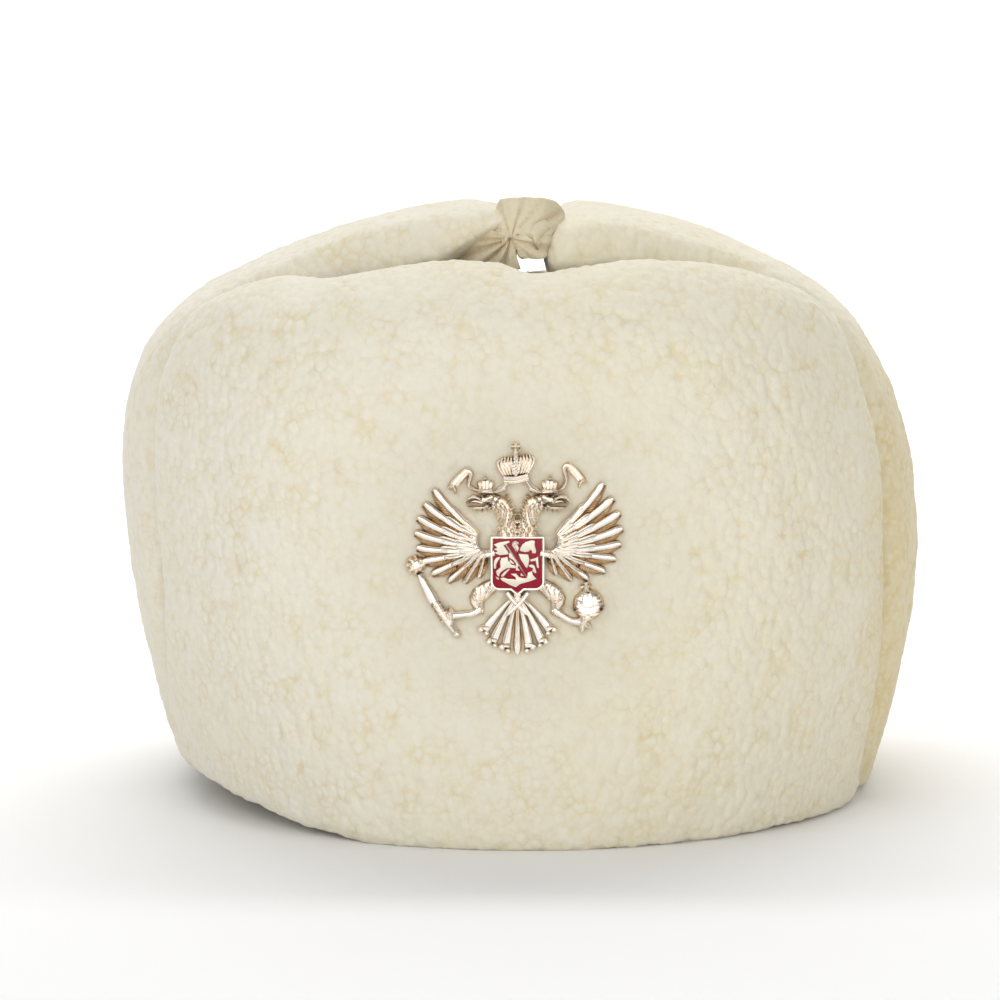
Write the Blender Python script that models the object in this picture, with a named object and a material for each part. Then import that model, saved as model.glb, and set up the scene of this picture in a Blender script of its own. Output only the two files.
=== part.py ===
"""A sheepskin ushanka with its ear flaps tied up over the crown and a double-headed eagle badge.

Metres, +Z up. The hat stands on its rim at z = 0, the wearer looks along -Y, so the wearer's
right ear is at -X. Sizes in the tables are millimetres, turned into metres where points are made.

The hat is drawn as a dome over a unit disc: the disc's edge is the rim, its centre is the middle
of the crown's top. Two domes matter, the leather crown and the outside of the wool. Every woolly
piece is a patch of the disc, filled between the two domes and rounded at its edges.
"""

import math
from collections import namedtuple

import bmesh
import bpy
from mathutils import Vector

MM = 0.001

# The two domes. reach is the distance from the disc's centre. right and left are half-widths at
# the ears, front and back half-lengths, rise the height. power squares the plan, 2 is an ellipse.
Level = namedtuple("Level", "reach right left front back rise power")

WOOL_DOME = [
    Level(1.00, 96.5, 99.0, 119.0, 119.0, -3.0, 2.15),
    Level(0.93, 100.9, 101.3, 120.5, 121.0, 9.0, 2.15),
    Level(0.84, 104.8, 107.3, 122.0, 122.0, 30.0, 2.20),
    Level(0.75, 108.7, 111.8, 123.5, 123.5, 53.0, 2.25),
    Level(0.66, 112.0, 112.2, 124.5, 124.0, 77.0, 2.30),
    Level(0.58, 112.9, 110.0, 124.5, 123.0, 98.0, 2.40),
    Level(0.51, 110.0, 102.8, 124.0, 118.5, 116.0, 2.55),
    Level(0.44, 102.5, 95.5, 122.0, 111.5, 129.0, 2.70),
    Level(0.38, 93.7, 88.5, 118.5, 102.5, 138.0, 2.70),
    Level(0.30, 76.0, 73.5, 108.0, 86.0, 147.0, 2.50),
    Level(0.20, 49.5, 50.5, 79.0, 58.0, 156.5, 2.20),
    Level(0.10, 24.0, 26.0, 40.0, 29.0, 163.0, 2.00),
    Level(0.00, 0.0, 0.0, 0.0, 0.0, 165.5, 2.00),
]
CROWN_DOME = [
    Level(1.00, 82.5, 82.5, 100.0, 100.5, 3.0, 2.15),
    Level(0.93, 84.0, 84.0, 100.5, 101.0, 10.0, 2.15),
    Level(0.84, 87.5, 87.5, 102.0, 102.5, 30.0, 2.15),
    Level(0.75, 91.0, 91.0, 103.5, 104.0, 53.0, 2.15),
    Level(0.66, 92.5, 92.5, 104.5, 105.0, 77.0, 2.20),
    Level(0.58, 91.5, 91.0, 104.5, 104.5, 96.0, 2.25),
    Level(0.51, 88.0, 85.5, 103.0, 101.5, 110.0, 2.25),
    Level(0.44, 81.5, 78.5, 99.5, 96.0, 120.5, 2.20),
    Level(0.38, 73.5, 71.0, 94.5, 88.0, 127.5, 2.15),
    Level(0.30, 60.0, 59.0, 84.0, 71.0, 134.5, 2.10),
    Level(0.20, 40.0, 40.0, 60.0, 48.0, 140.0, 2.05),
    Level(0.10, 20.0, 20.0, 30.0, 24.0, 143.0, 2.00),
    Level(0.00, 0.0, 0.0, 0.0, 0.0, 144.0, 2.00),
]

CROWN_WALL = 3.5
CROWN_AROUND, CROWN_RINGS = 32, 9
CLEARANCE = 0.8  # between the crown and the wool's leather side
SHOULDER_CLEARANCE = 0.7  # added where the crown turns over
TOP_ENDS, SIDE_STARTS = 0.30, 0.50  # reaches between which the dome turns from top to side

# The grids and the sizes, across and from the rim to the far edge, that the pads are made with.
# A pad thins towards its edges over EDGE_ROUND, RIM_ROUND and far_round.
Pad = namedtuple("Pad", "columns rows width length far_round")
VISOR_PAD = Pad(26, 16, 245.0, 150.0, 9.0)
NECK_PAD = Pad(16, 10, 165.0, 108.0, 9.0)
FLAP_PAD = Pad(14, 20, 130.0, 235.0, 6.0)
WOOL_DEPTH = 18.5  # the thickest that a pad gets
EDGE_ROUND, RIM_ROUND = 9.0, 5.0

# The rim is pulled up at the wearer's right ear.
RIM_LIFT = 9.0
LIFT_FADES_AT = 70.0
LIFT_SPREAD = 0.34  # share of the half-width that the lift leaves flat

# Where the pads meet, as angles round the rim: 0 is the left ear, -90 the forehead.
VISOR_HALF_ANGLE = 60.5
VISOR_FLARE = {-1.0: 19.0, 1.0: 11.0}  # more at the rim, on the right and on the left
FLARE_FROM = 0.66
NECK_HALF_ANGLE = 44.0
SEAM_ANGLE = 0.45
# Corners of the pads, in the disc.
VISOR_CORNER = (0.348, 0.196)
VISOR_TOP = 0.285
FLAP_CORNER = (0.340, 0.177)
NECK_TOP_REACH = 0.560
RIGHT_TIP_X, LEFT_TIP_X = -0.013, 0.020
TIP_FRONT_Y, TIP_BACK_Y = -0.262, 0.060
TIP_SPREAD = 0.020  # how much wider the tips lie apart at the back
TUNNEL_RISE = 6.0  # the flap tips arch this far over the crown
TUNNEL_REACH = 0.17
RIGHT_TIP_LIFT, LEFT_TIP_LIFT = 8.5, 6.5  # how far the tips' front edges stand above the dome
TIP_LIFT_REACH = 0.60

# How far the visor's top edge stands above the dome, from the right ear to the left.
Crest = namedtuple("Crest", "across rise")
VISOR_CREST = [
    Crest(-1.00, 2.0),
    Crest(-0.66, 4.5),
    Crest(-0.50, 0.5),
    Crest(-0.25, 2.5),
    Crest(-0.06, 2.4),
    Crest(0.08, -0.8),
    Crest(0.22, 3.4),
    Crest(0.50, 5.5),
    Crest(0.80, 4.5),
    Crest(1.00, 2.0),
]

# The leather between the flap tips is gathered to a pinch, and fans out from it upwards and down.
PINCH_X, PINCH_Y, PINCH_Z = -3.2, -91.5, 154.8
LEATHER = 1.6
PLEAT = 0.5
Ray = namedtuple("Ray", "angle length y")
FAN = [
    Ray(-140.0, 6.5, -93.6),
    Ray(-120.0, 7.0, -93.8),
    Ray(-100.0, 6.3, -93.8),
    Ray(-80.0, 6.0, -93.6),
    Ray(-60.0, 2.2, -92.6),
    Ray(-30.0, 2.4, -92.0),
    Ray(-10.0, 8.9, -90.4),
    Ray(10.0, 9.4, -90.2),
    Ray(25.0, 10.0, -90.0),
    Ray(41.0, 14.2, -89.8),
    Ray(58.0, 12.8, -89.6),
    Ray(75.0, 11.4, -89.6),
    Ray(92.0, 10.8, -89.8),
    Ray(115.0, 2.2, -91.3),
    Ray(150.0, 1.4, -91.4),
    Ray(190.0, 1.4, -91.8),
]
# Behind the pinch it runs back along the top, in the groove between the tips.
Row = namedtuple("Row", "y middle half z")
STRAP = [
    Row(-88.9, 1.3, 5.4, 159.6),
    Row(-80.0, 1.3, 6.3, 160.9),
    Row(-64.0, 1.3, 6.6, 161.6),
    Row(-40.0, 1.3, 7.0, 161.6),
    Row(-16.0, 1.3, 7.4, 161.3),
    Row(8.0, 1.5, 8.0, 160.6),
]
STRAP_PLEATS = 4

# The badge and the dimple that it presses into the visor.
BADGE_X, BADGE_HEIGHT = -1.4, 78.0
BADGE_BACK = 121.6  # distance of the badge's back from the hat's middle
BADGE_GAP = 0.4
DIMPLE_FLAT, DIMPLE_END = 32.0, 60.0
POST_RADIUS, POST_LENGTH, POST_CLEARANCE = 1.3, 9.0, 0.35


def clear_scene():
    for obj in list(bpy.data.objects):
        bpy.data.objects.remove(obj, do_unlink=True)


def material(name, colour, roughness, metallic=0.0):
    made = bpy.data.materials.new(name)
    made.use_nodes = True
    shader = made.node_tree.nodes["Principled BSDF"]
    shader.inputs["Base Color"].default_value = (*colour, 1.0)
    shader.inputs["Roughness"].default_value = roughness
    shader.inputs["Metallic"].default_value = metallic
    return made


def add_object(name, bm, finish, smooth_angle=60.0, collection=None):
    mesh = bpy.data.meshes.new(name)
    bm.to_mesh(mesh)
    bm.free()
    mesh.shade_smooth()
    mesh.set_sharp_from_angle(angle=math.radians(smooth_angle))
    obj = bpy.data.objects.new(name, mesh)
    obj.data.materials.append(finish)
    (collection or bpy.context.scene.collection).objects.link(obj)
    return obj


def add_boolean(obj, cutter, operation, solver="EXACT"):
    """Joins or cuts an object with another one, or with a whole collection."""
    change = obj.modifiers.new(operation.lower(), "BOOLEAN")
    change.operation = operation
    change.solver = solver
    if isinstance(cutter, bpy.types.Collection):
        change.operand_type = "COLLECTION"
        change.collection = cutter
        cutters = cutter.objects
    else:
        change.object = cutter
        cutters = [cutter]
    for each in cutters:
        each.hide_render = True
        each.display_type = "WIRE"


def smooth_step(low, high, value):
    share = min(1.0, max(0.0, (value - low) / (high - low)))
    return share * share * (3.0 - 2.0 * share)


def mix(a, b, share):
    return a + (b - a) * share


def cubic(values, places, share):
    """A smooth curve through four values, between the middle two."""
    span = places[2] - places[1]
    slopes = [(values[k + 2] - values[k]) / (places[k + 2] - places[k]) * span for k in (0, 1)]
    s2, s3 = share * share, share**3
    return (
        (2 * s3 - 3 * s2 + 1) * values[1]
        + (s3 - 2 * s2 + share) * slopes[0]
        + (3 * s2 - 2 * s3) * values[2]
        + (s3 - s2) * slopes[1]
    )


def read_rows(rows, place):
    """The columns of a table at a place in its first column, smoothly between its rows."""
    turned = 1.0 if rows[-1][0] > rows[0][0] else -1.0
    inside = min(max(turned * place, turned * rows[0][0]), turned * rows[-1][0])
    low = next(k for k in range(len(rows) - 1) if turned * rows[k + 1][0] >= inside - 1e-9)
    near = [rows[max(0, low - 1)], rows[low], rows[low + 1], rows[min(len(rows) - 1, low + 2)]]
    places = [turned * row[0] for row in near]
    share = (inside - places[1]) / (places[2] - places[1])
    return [cubic([row[k] for row in near], places, share) for k in range(1, len(rows[0]))]


# The domes


def dome_point(dome, x, y):
    """The dome's point, in millimetres, over a point of the disc."""
    reach = math.hypot(x, y)
    right, left, front, back, rise, power = read_rows(dome, reach)
    if reach < 1e-6:
        return Vector((0.0, 0.0, rise))
    cosine, sine = x / reach, y / reach
    wide = abs(cosine) ** (2.0 / power) * (left if cosine > 0 else -right)
    deep = abs(sine) ** (2.0 / power) * (back if sine > 0 else -front)
    return Vector((wide, deep, rise))


def lifted(point):
    """The point with the rim pulled up at the right ear."""
    side = smooth_step(LIFT_SPREAD, 1.0, -point.x / 100.0)
    low = 1.0 - smooth_step(0.0, LIFT_FADES_AT, point.z)
    return Vector((point.x, point.y, point.z + RIM_LIFT * side * low))


def crown_outside(x, y):
    return dome_point(CROWN_DOME, x, y)


def wool_inside(x, y):
    """The leather side of the wool: clear of the crown, and arched where the flap tips meet."""
    point = crown_outside(x, y)
    reach = math.hypot(x, y)
    shoulder = smooth_step(0.66, SIDE_STARTS, reach) * smooth_step(0.22, 0.34, reach)
    clear = CLEARANCE + SHOULDER_CLEARANCE * shoulder
    flat = Vector((point.x, point.y, 0.0))
    if flat.length > 1e-6:
        point += flat.normalized() * clear * smooth_step(TOP_ENDS, SIDE_STARTS, reach)
    point.z += clear * (1.0 - smooth_step(SIDE_STARTS, 0.60, reach))
    near_tip = 1.0 - smooth_step(0.0, TUNNEL_REACH, abs(x))
    point.z += TUNNEL_RISE * near_tip * (1.0 - smooth_step(TOP_ENDS, 0.42, reach))
    return point


def wool_outside(x, y):
    """The outside of the wool, pressed in where the badge is pinned."""
    point = dome_point(WOOL_DOME, x, y)
    if point.y < 0.0:
        away = math.hypot(point.x - BADGE_X, point.z - BADGE_HEIGHT)
        hold = 1.0 - smooth_step(DIMPLE_FLAT, DIMPLE_END, away)
        pressed = max(point.y, BADGE_GAP - BADGE_BACK)
        point.y = mix(point.y, pressed, hold)
    return point


# The woolly pads. Each has a shape: shape(u, v) gives its outside and inside, with u across
# the pad and v from the rim to the far edge.


def edge_share(away, round_off):
    """How full a pad is this many millimetres from its edge, from 0 to 1."""
    left = 1.0 - min(1.0, max(0.0, away / round_off))
    return math.sqrt(max(0.0, 1.0 - left * left))


def crowd_edges(share, strength=0.85):
    """Spreads grid lines so that they crowd towards 0 and 1."""
    return mix(share, 0.5 - 0.5 * math.cos(math.pi * share), strength)


def pad_mesh(shape, pad):
    """A closed pad of the given shape and sizes."""
    bm = bmesh.new()
    for outside in (True, False):
        made = bmesh.ops.create_grid(bm, x_segments=pad.columns, y_segments=pad.rows, size=0.5)
        for vert in made["verts"]:
            u = crowd_edges(vert.co.x + 0.5)
            v = crowd_edges(vert.co.y + 0.5)
            full = (
                edge_share(u * pad.width, EDGE_ROUND)
                * edge_share((1.0 - u) * pad.width, EDGE_ROUND)
                * edge_share(v * pad.length, RIM_ROUND)
                * edge_share((1.0 - v) * pad.length, pad.far_round)
            )
            outer, inner = shape(u, v)
            deep = (inner - outer).length
            inner = outer + (inner - outer) * min(1.0, WOOL_DEPTH / deep)
            middle = (outer + inner) * 0.5
            point = middle + ((outer if outside else inner) - middle) * full
            point.z = max(0.0, point.z)
            vert.co = lifted(point) * MM
    bmesh.ops.remove_doubles(bm, verts=bm.verts, dist=1e-6)
    bmesh.ops.recalc_face_normals(bm, faces=bm.faces)
    return bm


def rim_point(degrees):
    angle = math.radians(degrees)
    return math.cos(angle), math.sin(angle)


def flared(x, y, share):
    """The disc point turned away from the forehead near the rim, by this share of the flare."""
    turn = VISOR_FLARE[1.0 if share > 0.0 else -1.0] * smooth_step(FLARE_FROM, 1.0, math.hypot(x, y))
    angle = math.radians(turn * share)
    return x * math.cos(angle) - y * math.sin(angle), x * math.sin(angle) + y * math.cos(angle)


def visor_shape(u, v):
    across = 2.0 * u - 1.0
    rim = rim_point(-90.0 + VISOR_HALF_ANGLE * across)
    top_y = -mix(VISOR_TOP, VISOR_CORNER[1], abs(across) ** 1.6)
    top_x = VISOR_CORNER[0] * across
    x, y = flared(mix(rim[0], top_x, v), mix(rim[1], top_y, v), across)
    outer, inner = wool_outside(x, y), wool_inside(x, y)
    crest = read_rows(VISOR_CREST, across)[0] * smooth_step(0.60, 1.0, v)
    for point in (outer, inner):
        point.z += crest
    return outer, inner


def neck_shape(u, v):
    across = 2.0 * u - 1.0
    rim = rim_point(90.0 - NECK_HALF_ANGLE * across)
    top_reach = NECK_TOP_REACH + abs(across) ** 4 * 0.10
    reach = mix(1.0, top_reach, v)
    x, y = rim[0] * reach, rim[1] * reach
    return wool_outside(x, y), wool_inside(x, y)


Corner = namedtuple("Corner", "share x y")  # of a flap's edge: share is its place along the flap


def flap_shape(side, tip_x, tip_lift):
    """The shape of an ear flap. side is 1 for the left ear and -1 for the right."""
    front_angle = -90.0 + VISOR_HALF_ANGLE + SEAM_ANGLE
    back_angle = 90.0 - NECK_HALF_ANGLE - SEAM_ANGLE
    front_rim, back_rim = rim_point(front_angle), rim_point(back_angle)
    low = NECK_TOP_REACH - 0.02
    tip = side * tip_x
    front_edge = [
        Corner(0.0, *front_rim),
        Corner(0.60, FLAP_CORNER[0], -FLAP_CORNER[1]),
        Corner(1.0, tip, TIP_FRONT_Y),
    ]
    back_edge = [
        Corner(0.0, *back_rim),
        Corner(0.45, back_rim[0] * low, back_rim[1] * low),
        Corner(1.0, tip + TIP_SPREAD, TIP_BACK_Y),
    ]

    def along(edge, share):
        start, end = (edge[0], edge[1]) if share <= edge[1].share else (edge[1], edge[2])
        part = (share - start.share) / (end.share - start.share)
        return mix(start.x, end.x, part), mix(start.y, end.y, part)

    def shape(u, v):
        fx, fy = along(front_edge, v)
        bx, by = along(back_edge, v)
        x, y = mix(fx, bx, u), mix(fy, by, u)
        arc = rim_point(mix(front_angle, back_angle, u))
        bow = (1.0 - v) ** 1.6
        x += (arc[0] - mix(front_rim[0], back_rim[0], u)) * bow
        y += (arc[1] - mix(front_rim[1], back_rim[1], u)) * bow
        x, y = flared(side * x, y, side * (1.0 - u))
        outer, inner = wool_outside(x, y), wool_inside(x, y)
        raised = tip_lift * smooth_step(TIP_LIFT_REACH, 1.0, v) * (1.0 - smooth_step(0.0, 0.7, u))
        for point in (outer, inner):
            point.z += raised
        return outer, inner

    return shape


def make_pads(wool):
    """The visor, the neck flap and the two ear flaps."""
    visor = add_object("visor", pad_mesh(visor_shape, VISOR_PAD), wool)
    add_object("neck_flap", pad_mesh(neck_shape, NECK_PAD), wool)
    for name, side, tip_x, tip_lift in (
        ("ear_flap_right", -1.0, RIGHT_TIP_X, RIGHT_TIP_LIFT),
        ("ear_flap_left", 1.0, LEFT_TIP_X, LEFT_TIP_LIFT),
    ):
        add_object(name, pad_mesh(flap_shape(side, tip_x, tip_lift), FLAP_PAD), wool)
    return visor


# The crown


def make_crown(leather):
    """The leather cap under the flaps: rings of one sheet, thickened inwards."""
    bm = bmesh.new()
    rim = bmesh.ops.create_circle(bm, cap_ends=False, segments=CROWN_AROUND, radius=1.0)["verts"]
    edges = list({edge for vert in rim for edge in vert.link_edges})
    for ring in range(1, CROWN_RINGS):
        made = bmesh.ops.extrude_edge_only(bm, edges=edges)["geom"]
        edges = [item for item in made if isinstance(item, bmesh.types.BMEdge)]
        verts = [item for item in made if isinstance(item, bmesh.types.BMVert)]
        for vert in verts:
            vert.co *= (CROWN_RINGS - ring) / (CROWN_RINGS - ring + 1)
    top = bmesh.ops.holes_fill(bm, edges=edges, sides=CROWN_AROUND)["faces"]
    bmesh.ops.poke(bm, faces=top)
    for vert in bm.verts:
        vert.co = lifted(crown_outside(vert.co.x, vert.co.y)) * MM
    bmesh.ops.recalc_face_normals(bm, faces=bm.faces)
    crown = add_object("crown", bm, leather)
    wall = crown.modifiers.new("wall", "SOLIDIFY")
    wall.thickness = CROWN_WALL * MM
    wall.offset = -1.0


# The leather between the flap tips


def thicken(obj):
    wall = obj.modifiers.new("leather", "SOLIDIFY")
    wall.thickness = LEATHER * MM
    wall.offset = 0.0


def make_tie(leather):
    bm = bmesh.new()
    made = bmesh.ops.create_circle(bm, cap_ends=True, cap_tris=True, segments=len(FAN), radius=1.0)
    for vert in made["verts"]:
        if vert.co.length < 0.5:
            vert.co = Vector((PINCH_X, PINCH_Y, PINCH_Z)) * MM
            continue
        turn = math.atan2(vert.co.y, vert.co.x) / math.tau
        index = round(turn * len(FAN)) % len(FAN)
        ray = FAN[index]
        angle = math.radians(ray.angle)
        fold = PLEAT if index % 2 else -PLEAT
        x, z = PINCH_X + ray.length * math.cos(angle), PINCH_Z + ray.length * math.sin(angle)
        vert.co = Vector((x, ray.y + fold, z)) * MM
    bmesh.ops.recalc_face_normals(bm, faces=bm.faces)
    thicken(add_object("tie_fan", bm, leather))

    bm = bmesh.new()
    folds = 2 * STRAP_PLEATS
    made = bmesh.ops.create_grid(bm, x_segments=folds, y_segments=9, size=0.5)
    for vert in made["verts"]:
        across, along = vert.co.x * 2.0, vert.co.y + 0.5
        y = mix(STRAP[0].y, STRAP[-1].y, along)
        middle, half, z = read_rows(STRAP, y)
        fold = PLEAT if round((across + 1.0) * STRAP_PLEATS) % 2 else -PLEAT
        vert.co = Vector((middle + half * across, y, z + fold)) * MM
    thicken(add_object("tie_strap", bm, leather))


# The badge. Its drawing is flat: x to the viewer's right and y up, from the badge's middle, with
# heights above its back. A strand is a bar of ridged section along a route of such points.

Spot = namedtuple("Spot", "x y half")  # a point of a strand's route and the strand's half-width
Feather = namedtuple("Feather", "tip_x tip_y root_x root_y half")

SHIELD_HALF, SHIELD_TOP, SHIELD_FOOT, SHIELD_POINT = 6.8, 3.2, -10.4, -11.8
SHIELD_ROUND = 2.2
SHIELD_RISE, FIELD_RISE, SHIELD_RIM = 2.4, 1.0, 0.75
ENAMEL_GAP, ENAMEL_BOTTOM, ENAMEL_TOP = 0.3, 1.3, 1.8
RIDER_BOTTOM = 2.1

# One wing, at the viewer's right. The other one mirrors it, a little smaller.
WING = [
    Feather(21.3, 15.9, 10.6, 4.3, 1.25),
    Feather(23.8, 12.2, 11.0, 3.3, 1.30),
    Feather(25.5, 8.6, 11.6, 1.9, 1.30),
    Feather(26.2, 4.7, 11.8, 0.7, 1.25),
    Feather(25.8, 0.8, 11.8, -0.3, 1.20),
    Feather(24.6, -3.0, 11.2, -0.9, 1.20),
    Feather(22.0, -6.2, 10.4, -1.2, 1.15),
    Feather(17.8, -8.2, 9.6, -1.3, 1.10),
    Feather(13.5, -8.4, 8.8, -1.4, 1.05),
    Feather(9.7, -7.0, 8.0, -1.6, 0.95),
]
WING_SCALE = {-1.0: 0.975, 1.0: 1.02}
WING_RAISED = {-1.0: -0.5, 1.0: 0.5}
TAIL = [
    Feather(8.3, -21.4, 0.9, -12.4, 0.75),
    Feather(7.4, -24.0, 0.7, -12.8, 0.80),
    Feather(5.0, -25.2, 0.5, -13.2, 0.80),
    Feather(2.5, -25.8, 0.2, -13.4, 0.80),
]
FEET = {-1.0: (16.6, -17.2), 1.0: (16.4, -19.4)}


# The corners of a strand's section, as shares across and up.
RIDGED = ((-1.0, 0.0), (-0.9, 0.5), (0.0, 1.0), (0.9, 0.5), (1.0, 0.0))
FLAT_TOPPED = ((-1.0, 0.0), (-0.7, 1.0), (0.7, 1.0), (1.0, 0.0))


def extrude_face(bm, face, first):
    """Extrudes an end face. Only the first one stays, as the other end."""
    made = bmesh.ops.extrude_face_region(bm, geom=[face])["geom"]
    if not first:
        bmesh.ops.delete(bm, geom=[face], context="FACES_ONLY")
    return next(item for item in made if isinstance(item, bmesh.types.BMFace))


def strand(shells, route, rise, base=0.0, end_rise=None, corners=RIDGED):
    """A closed bar along a route of spots, as high at its end as end_rise."""
    bm = bmesh.new()
    shells.append(bm)
    face = None
    for index, spot in enumerate(route):
        before, after = route[max(0, index - 1)], route[min(len(route) - 1, index + 1)]
        run = Vector((after.x - before.x, after.y - before.y)).normalized()
        across = Vector((-run.y, run.x)) * spot.half
        height = mix(rise, rise if end_rise is None else end_rise, index / (len(route) - 1))
        section = [
            Vector((spot.x + across.x * side, spot.y + across.y * side, base + height * high))
            for side, high in corners
        ]
        if face is None:
            face = bm.faces.new([bm.verts.new(corner) for corner in section])
            ring = list(face.verts)
            continue
        new_face = extrude_face(bm, face, first=index == 1)
        moved = []
        for old in ring:
            edge = next(e for e in old.link_edges if e.other_vert(old) in new_face.verts)
            moved.append(edge.other_vert(old))
        for vert, corner in zip(moved, section):
            vert.co = corner
        face, ring = new_face, moved


def stud(shells, x, y, half_x, half_y, rise, sides=10, base=0.0):
    """A low button with a rounded top."""
    bm = bmesh.new()
    shells.append(bm)
    made = bmesh.ops.create_circle(bm, cap_ends=True, segments=sides, radius=1.0)["verts"]
    face = made[0].link_faces[0]
    centre = Vector((x, y, 0.0))
    for vert in made:
        vert.co = centre + Vector((vert.co.x * half_x, vert.co.y * half_y, base))
    for level, size in ((0.55, 1.0), (0.90, 0.72), (1.0, 0.38)):
        face = extrude_face(bm, face, first=size == 1.0)
        for vert in face.verts:
            flat = vert.co - centre
            unit = Vector((flat.x / half_x, flat.y / half_y)).normalized()
            vert.co = centre + Vector((unit.x * half_x * size, unit.y * half_y * size, 0.0))
            vert.co.z = base + rise * level


def mirrored(route, side):
    return [Spot(spot.x * side, spot.y, spot.half) for spot in route]


def draw_wing(shells, side):
    scale, raised = WING_SCALE[side], WING_RAISED[side]
    for index, feather in enumerate(WING):
        root = Vector((feather.root_x, feather.root_y))
        tip = root + (Vector((feather.tip_x, feather.tip_y)) - root) * scale
        tip.y += raised
        run = tip - root
        bow = Vector((-run.y, run.x)) * (0.07 if index < 5 else 0.03)
        spots = []
        for share, wide in ((0.0, 0.6), (0.45, 1.0), (0.85, 0.85), (1.0, 0.15)):
            place = root + run * share - bow * 4.0 * share * (1.0 - share)
            spots.append(Spot(place.x, place.y, feather.half * wide))
        strand(shells, mirrored(spots, side), 2.0 + 0.05 * (index % 2), end_rise=1.2)
    arm = [Spot(5.8, -1.2, 1.3), Spot(9.0, -0.9, 1.3), Spot(11.3, 1.0, 1.3), Spot(10.5, 4.6, 1.0)]
    strand(shells, mirrored(arm, side), 2.15)


def draw_head(shells, side):
    """A neck, a head with an open beak, its crown and its ribbons."""
    neck = [Spot(3.4, 1.0, 2.6), Spot(2.6, 6.4, 1.9), Spot(3.9, 10.2, 1.75), Spot(7.4, 12.2, 1.7)]
    strand(shells, mirrored(neck, side), 2.0)
    skull = [Spot(5.4, 12.0, 1.3), Spot(7.6, 12.7, 1.85), Spot(9.8, 12.7, 1.35)]
    strand(shells, mirrored(skull, side), 2.3)
    upper = [Spot(9.2, 13.2, 0.9), Spot(11.5, 13.2, 0.8), Spot(13.1, 12.3, 0.6), Spot(13.4, 10.9, 0.15)]
    strand(shells, mirrored(upper, side), 1.7)
    lower = [Spot(9.0, 11.7, 0.7), Spot(11.2, 10.7, 0.55), Spot(12.8, 10.5, 0.15)]
    strand(shells, mirrored(lower, side), 1.4)
    crown = [Spot(8.1, 13.9, 1.4), Spot(8.3, 16.0, 1.9), Spot(8.45, 17.2, 1.5), Spot(8.5, 18.1, 0.3)]
    strand(shells, mirrored(crown, side), 1.8)
    tie = [Spot(2.2, 17.2, 0.55), Spot(4.0, 15.3, 0.55), Spot(6.8, 14.4, 0.55)]
    strand(shells, mirrored(tie, side), 0.9)
    lift = 0.7 * side
    rise = [Spot(9.6, 14.5, 0.5), Spot(12.0, 15.4, 0.5), Spot(13.0, 17.6 + lift, 0.55),
            Spot(12.2, 19.9 + lift, 0.8)]  # fmt: skip
    strand(shells, mirrored(rise, side), 0.9)
    fall = [Spot(11.7, 19.5 + lift, 0.6), Spot(13.4, 20.1 + lift, 1.0), Spot(15.6, 17.9 + lift, 1.1),
            Spot(17.4, 15.2 + lift, 1.3)]  # fmt: skip
    strand(shells, mirrored(fall, side), 1.1)


def draw_great_crown(shells):
    strand(shells, [Spot(-3.3, 17.2, 0.95), Spot(0.0, 16.9, 0.95), Spot(3.3, 17.2, 0.95)], 1.9)
    for rib in (-2, -1, 0, 1, 2):
        route = [
            Spot(rib * 1.3, 17.6, 0.8),
            Spot(rib * 2.0, 20.4, 1.15),
            Spot(rib * 1.75, 22.7, 1.0),
            Spot(rib * 0.6, 24.0, 0.6),
        ]
        strand(shells, route, 2.3 - 0.2 * abs(rib))
    stud(shells, 0.0, 24.2, 0.9, 0.9, 1.7)
    strand(shells, [Spot(0.0, 23.4, 0.45), Spot(0.0, 26.9, 0.55)], 1.3)
    strand(shells, [Spot(-1.15, 25.9, 0.45), Spot(1.15, 25.9, 0.45)], 1.1)


def draw_leg(shells, side):
    """A feathered thigh, a shin and a foot with four claws."""
    thigh = [Spot(5.2, -9.0, 1.7), Spot(8.2, -11.1, 2.1), Spot(10.0, -13.4, 2.0), Spot(8.9, -16.1, 1.0)]
    strand(shells, mirrored(thigh, side), 1.9)
    foot_x, foot_y = FEET[side]
    shin = [Spot(8.9, -15.6, 0.85), Spot(11.4, mix(-16.6, foot_y, 0.4), 0.7), Spot(foot_x, foot_y, 0.9)]
    strand(shells, mirrored(shin, side), 1.5)
    for claw in range(3):
        angle = math.radians(-90.0 + 65.0 * claw)
        end_x, end_y = foot_x + 2.4 * math.cos(angle), foot_y + 2.4 * math.sin(angle)
        toe = [Spot(foot_x - 0.3, foot_y, 0.6), Spot(end_x, end_y, 0.4)]
        strand(shells, mirrored(toe, side), 1.7 + 0.05 * claw)


def draw_sceptre(shells):
    """The sceptre in the foot at the viewer's left."""
    shaft = [Spot(-25.0, -6.4, 0.6), Spot(-22.8, -10.0, 0.75), Spot(-20.8, -13.2, 0.9),
             Spot(-18.1, -17.2, 0.6), Spot(-15.3, -22.2, 0.6)]  # fmt: skip
    strand(shells, shaft, 1.5)
    stud(shells, -25.9, -4.8, 2.4, 2.4, 2.2)
    stud(shells, -15.2, -22.4, 0.8, 0.8, 1.4, sides=8)


def draw_orb(shells):
    """The orb with its cross in the foot at the viewer's right."""
    stud(shells, 18.2, -15.0, 4.0, 3.9, 2.5, sides=14)
    strand(shells, [Spot(14.6, -15.6, 0.5), Spot(18.2, -15.0, 0.5), Spot(21.8, -15.6, 0.5)], 2.75)
    strand(shells, [Spot(17.7, -11.8, 0.6), Spot(17.6, -9.6, 0.45)], 1.6)
    strand(shells, [Spot(16.6, -10.5, 0.4), Spot(18.6, -10.4, 0.4)], 1.4)


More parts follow.
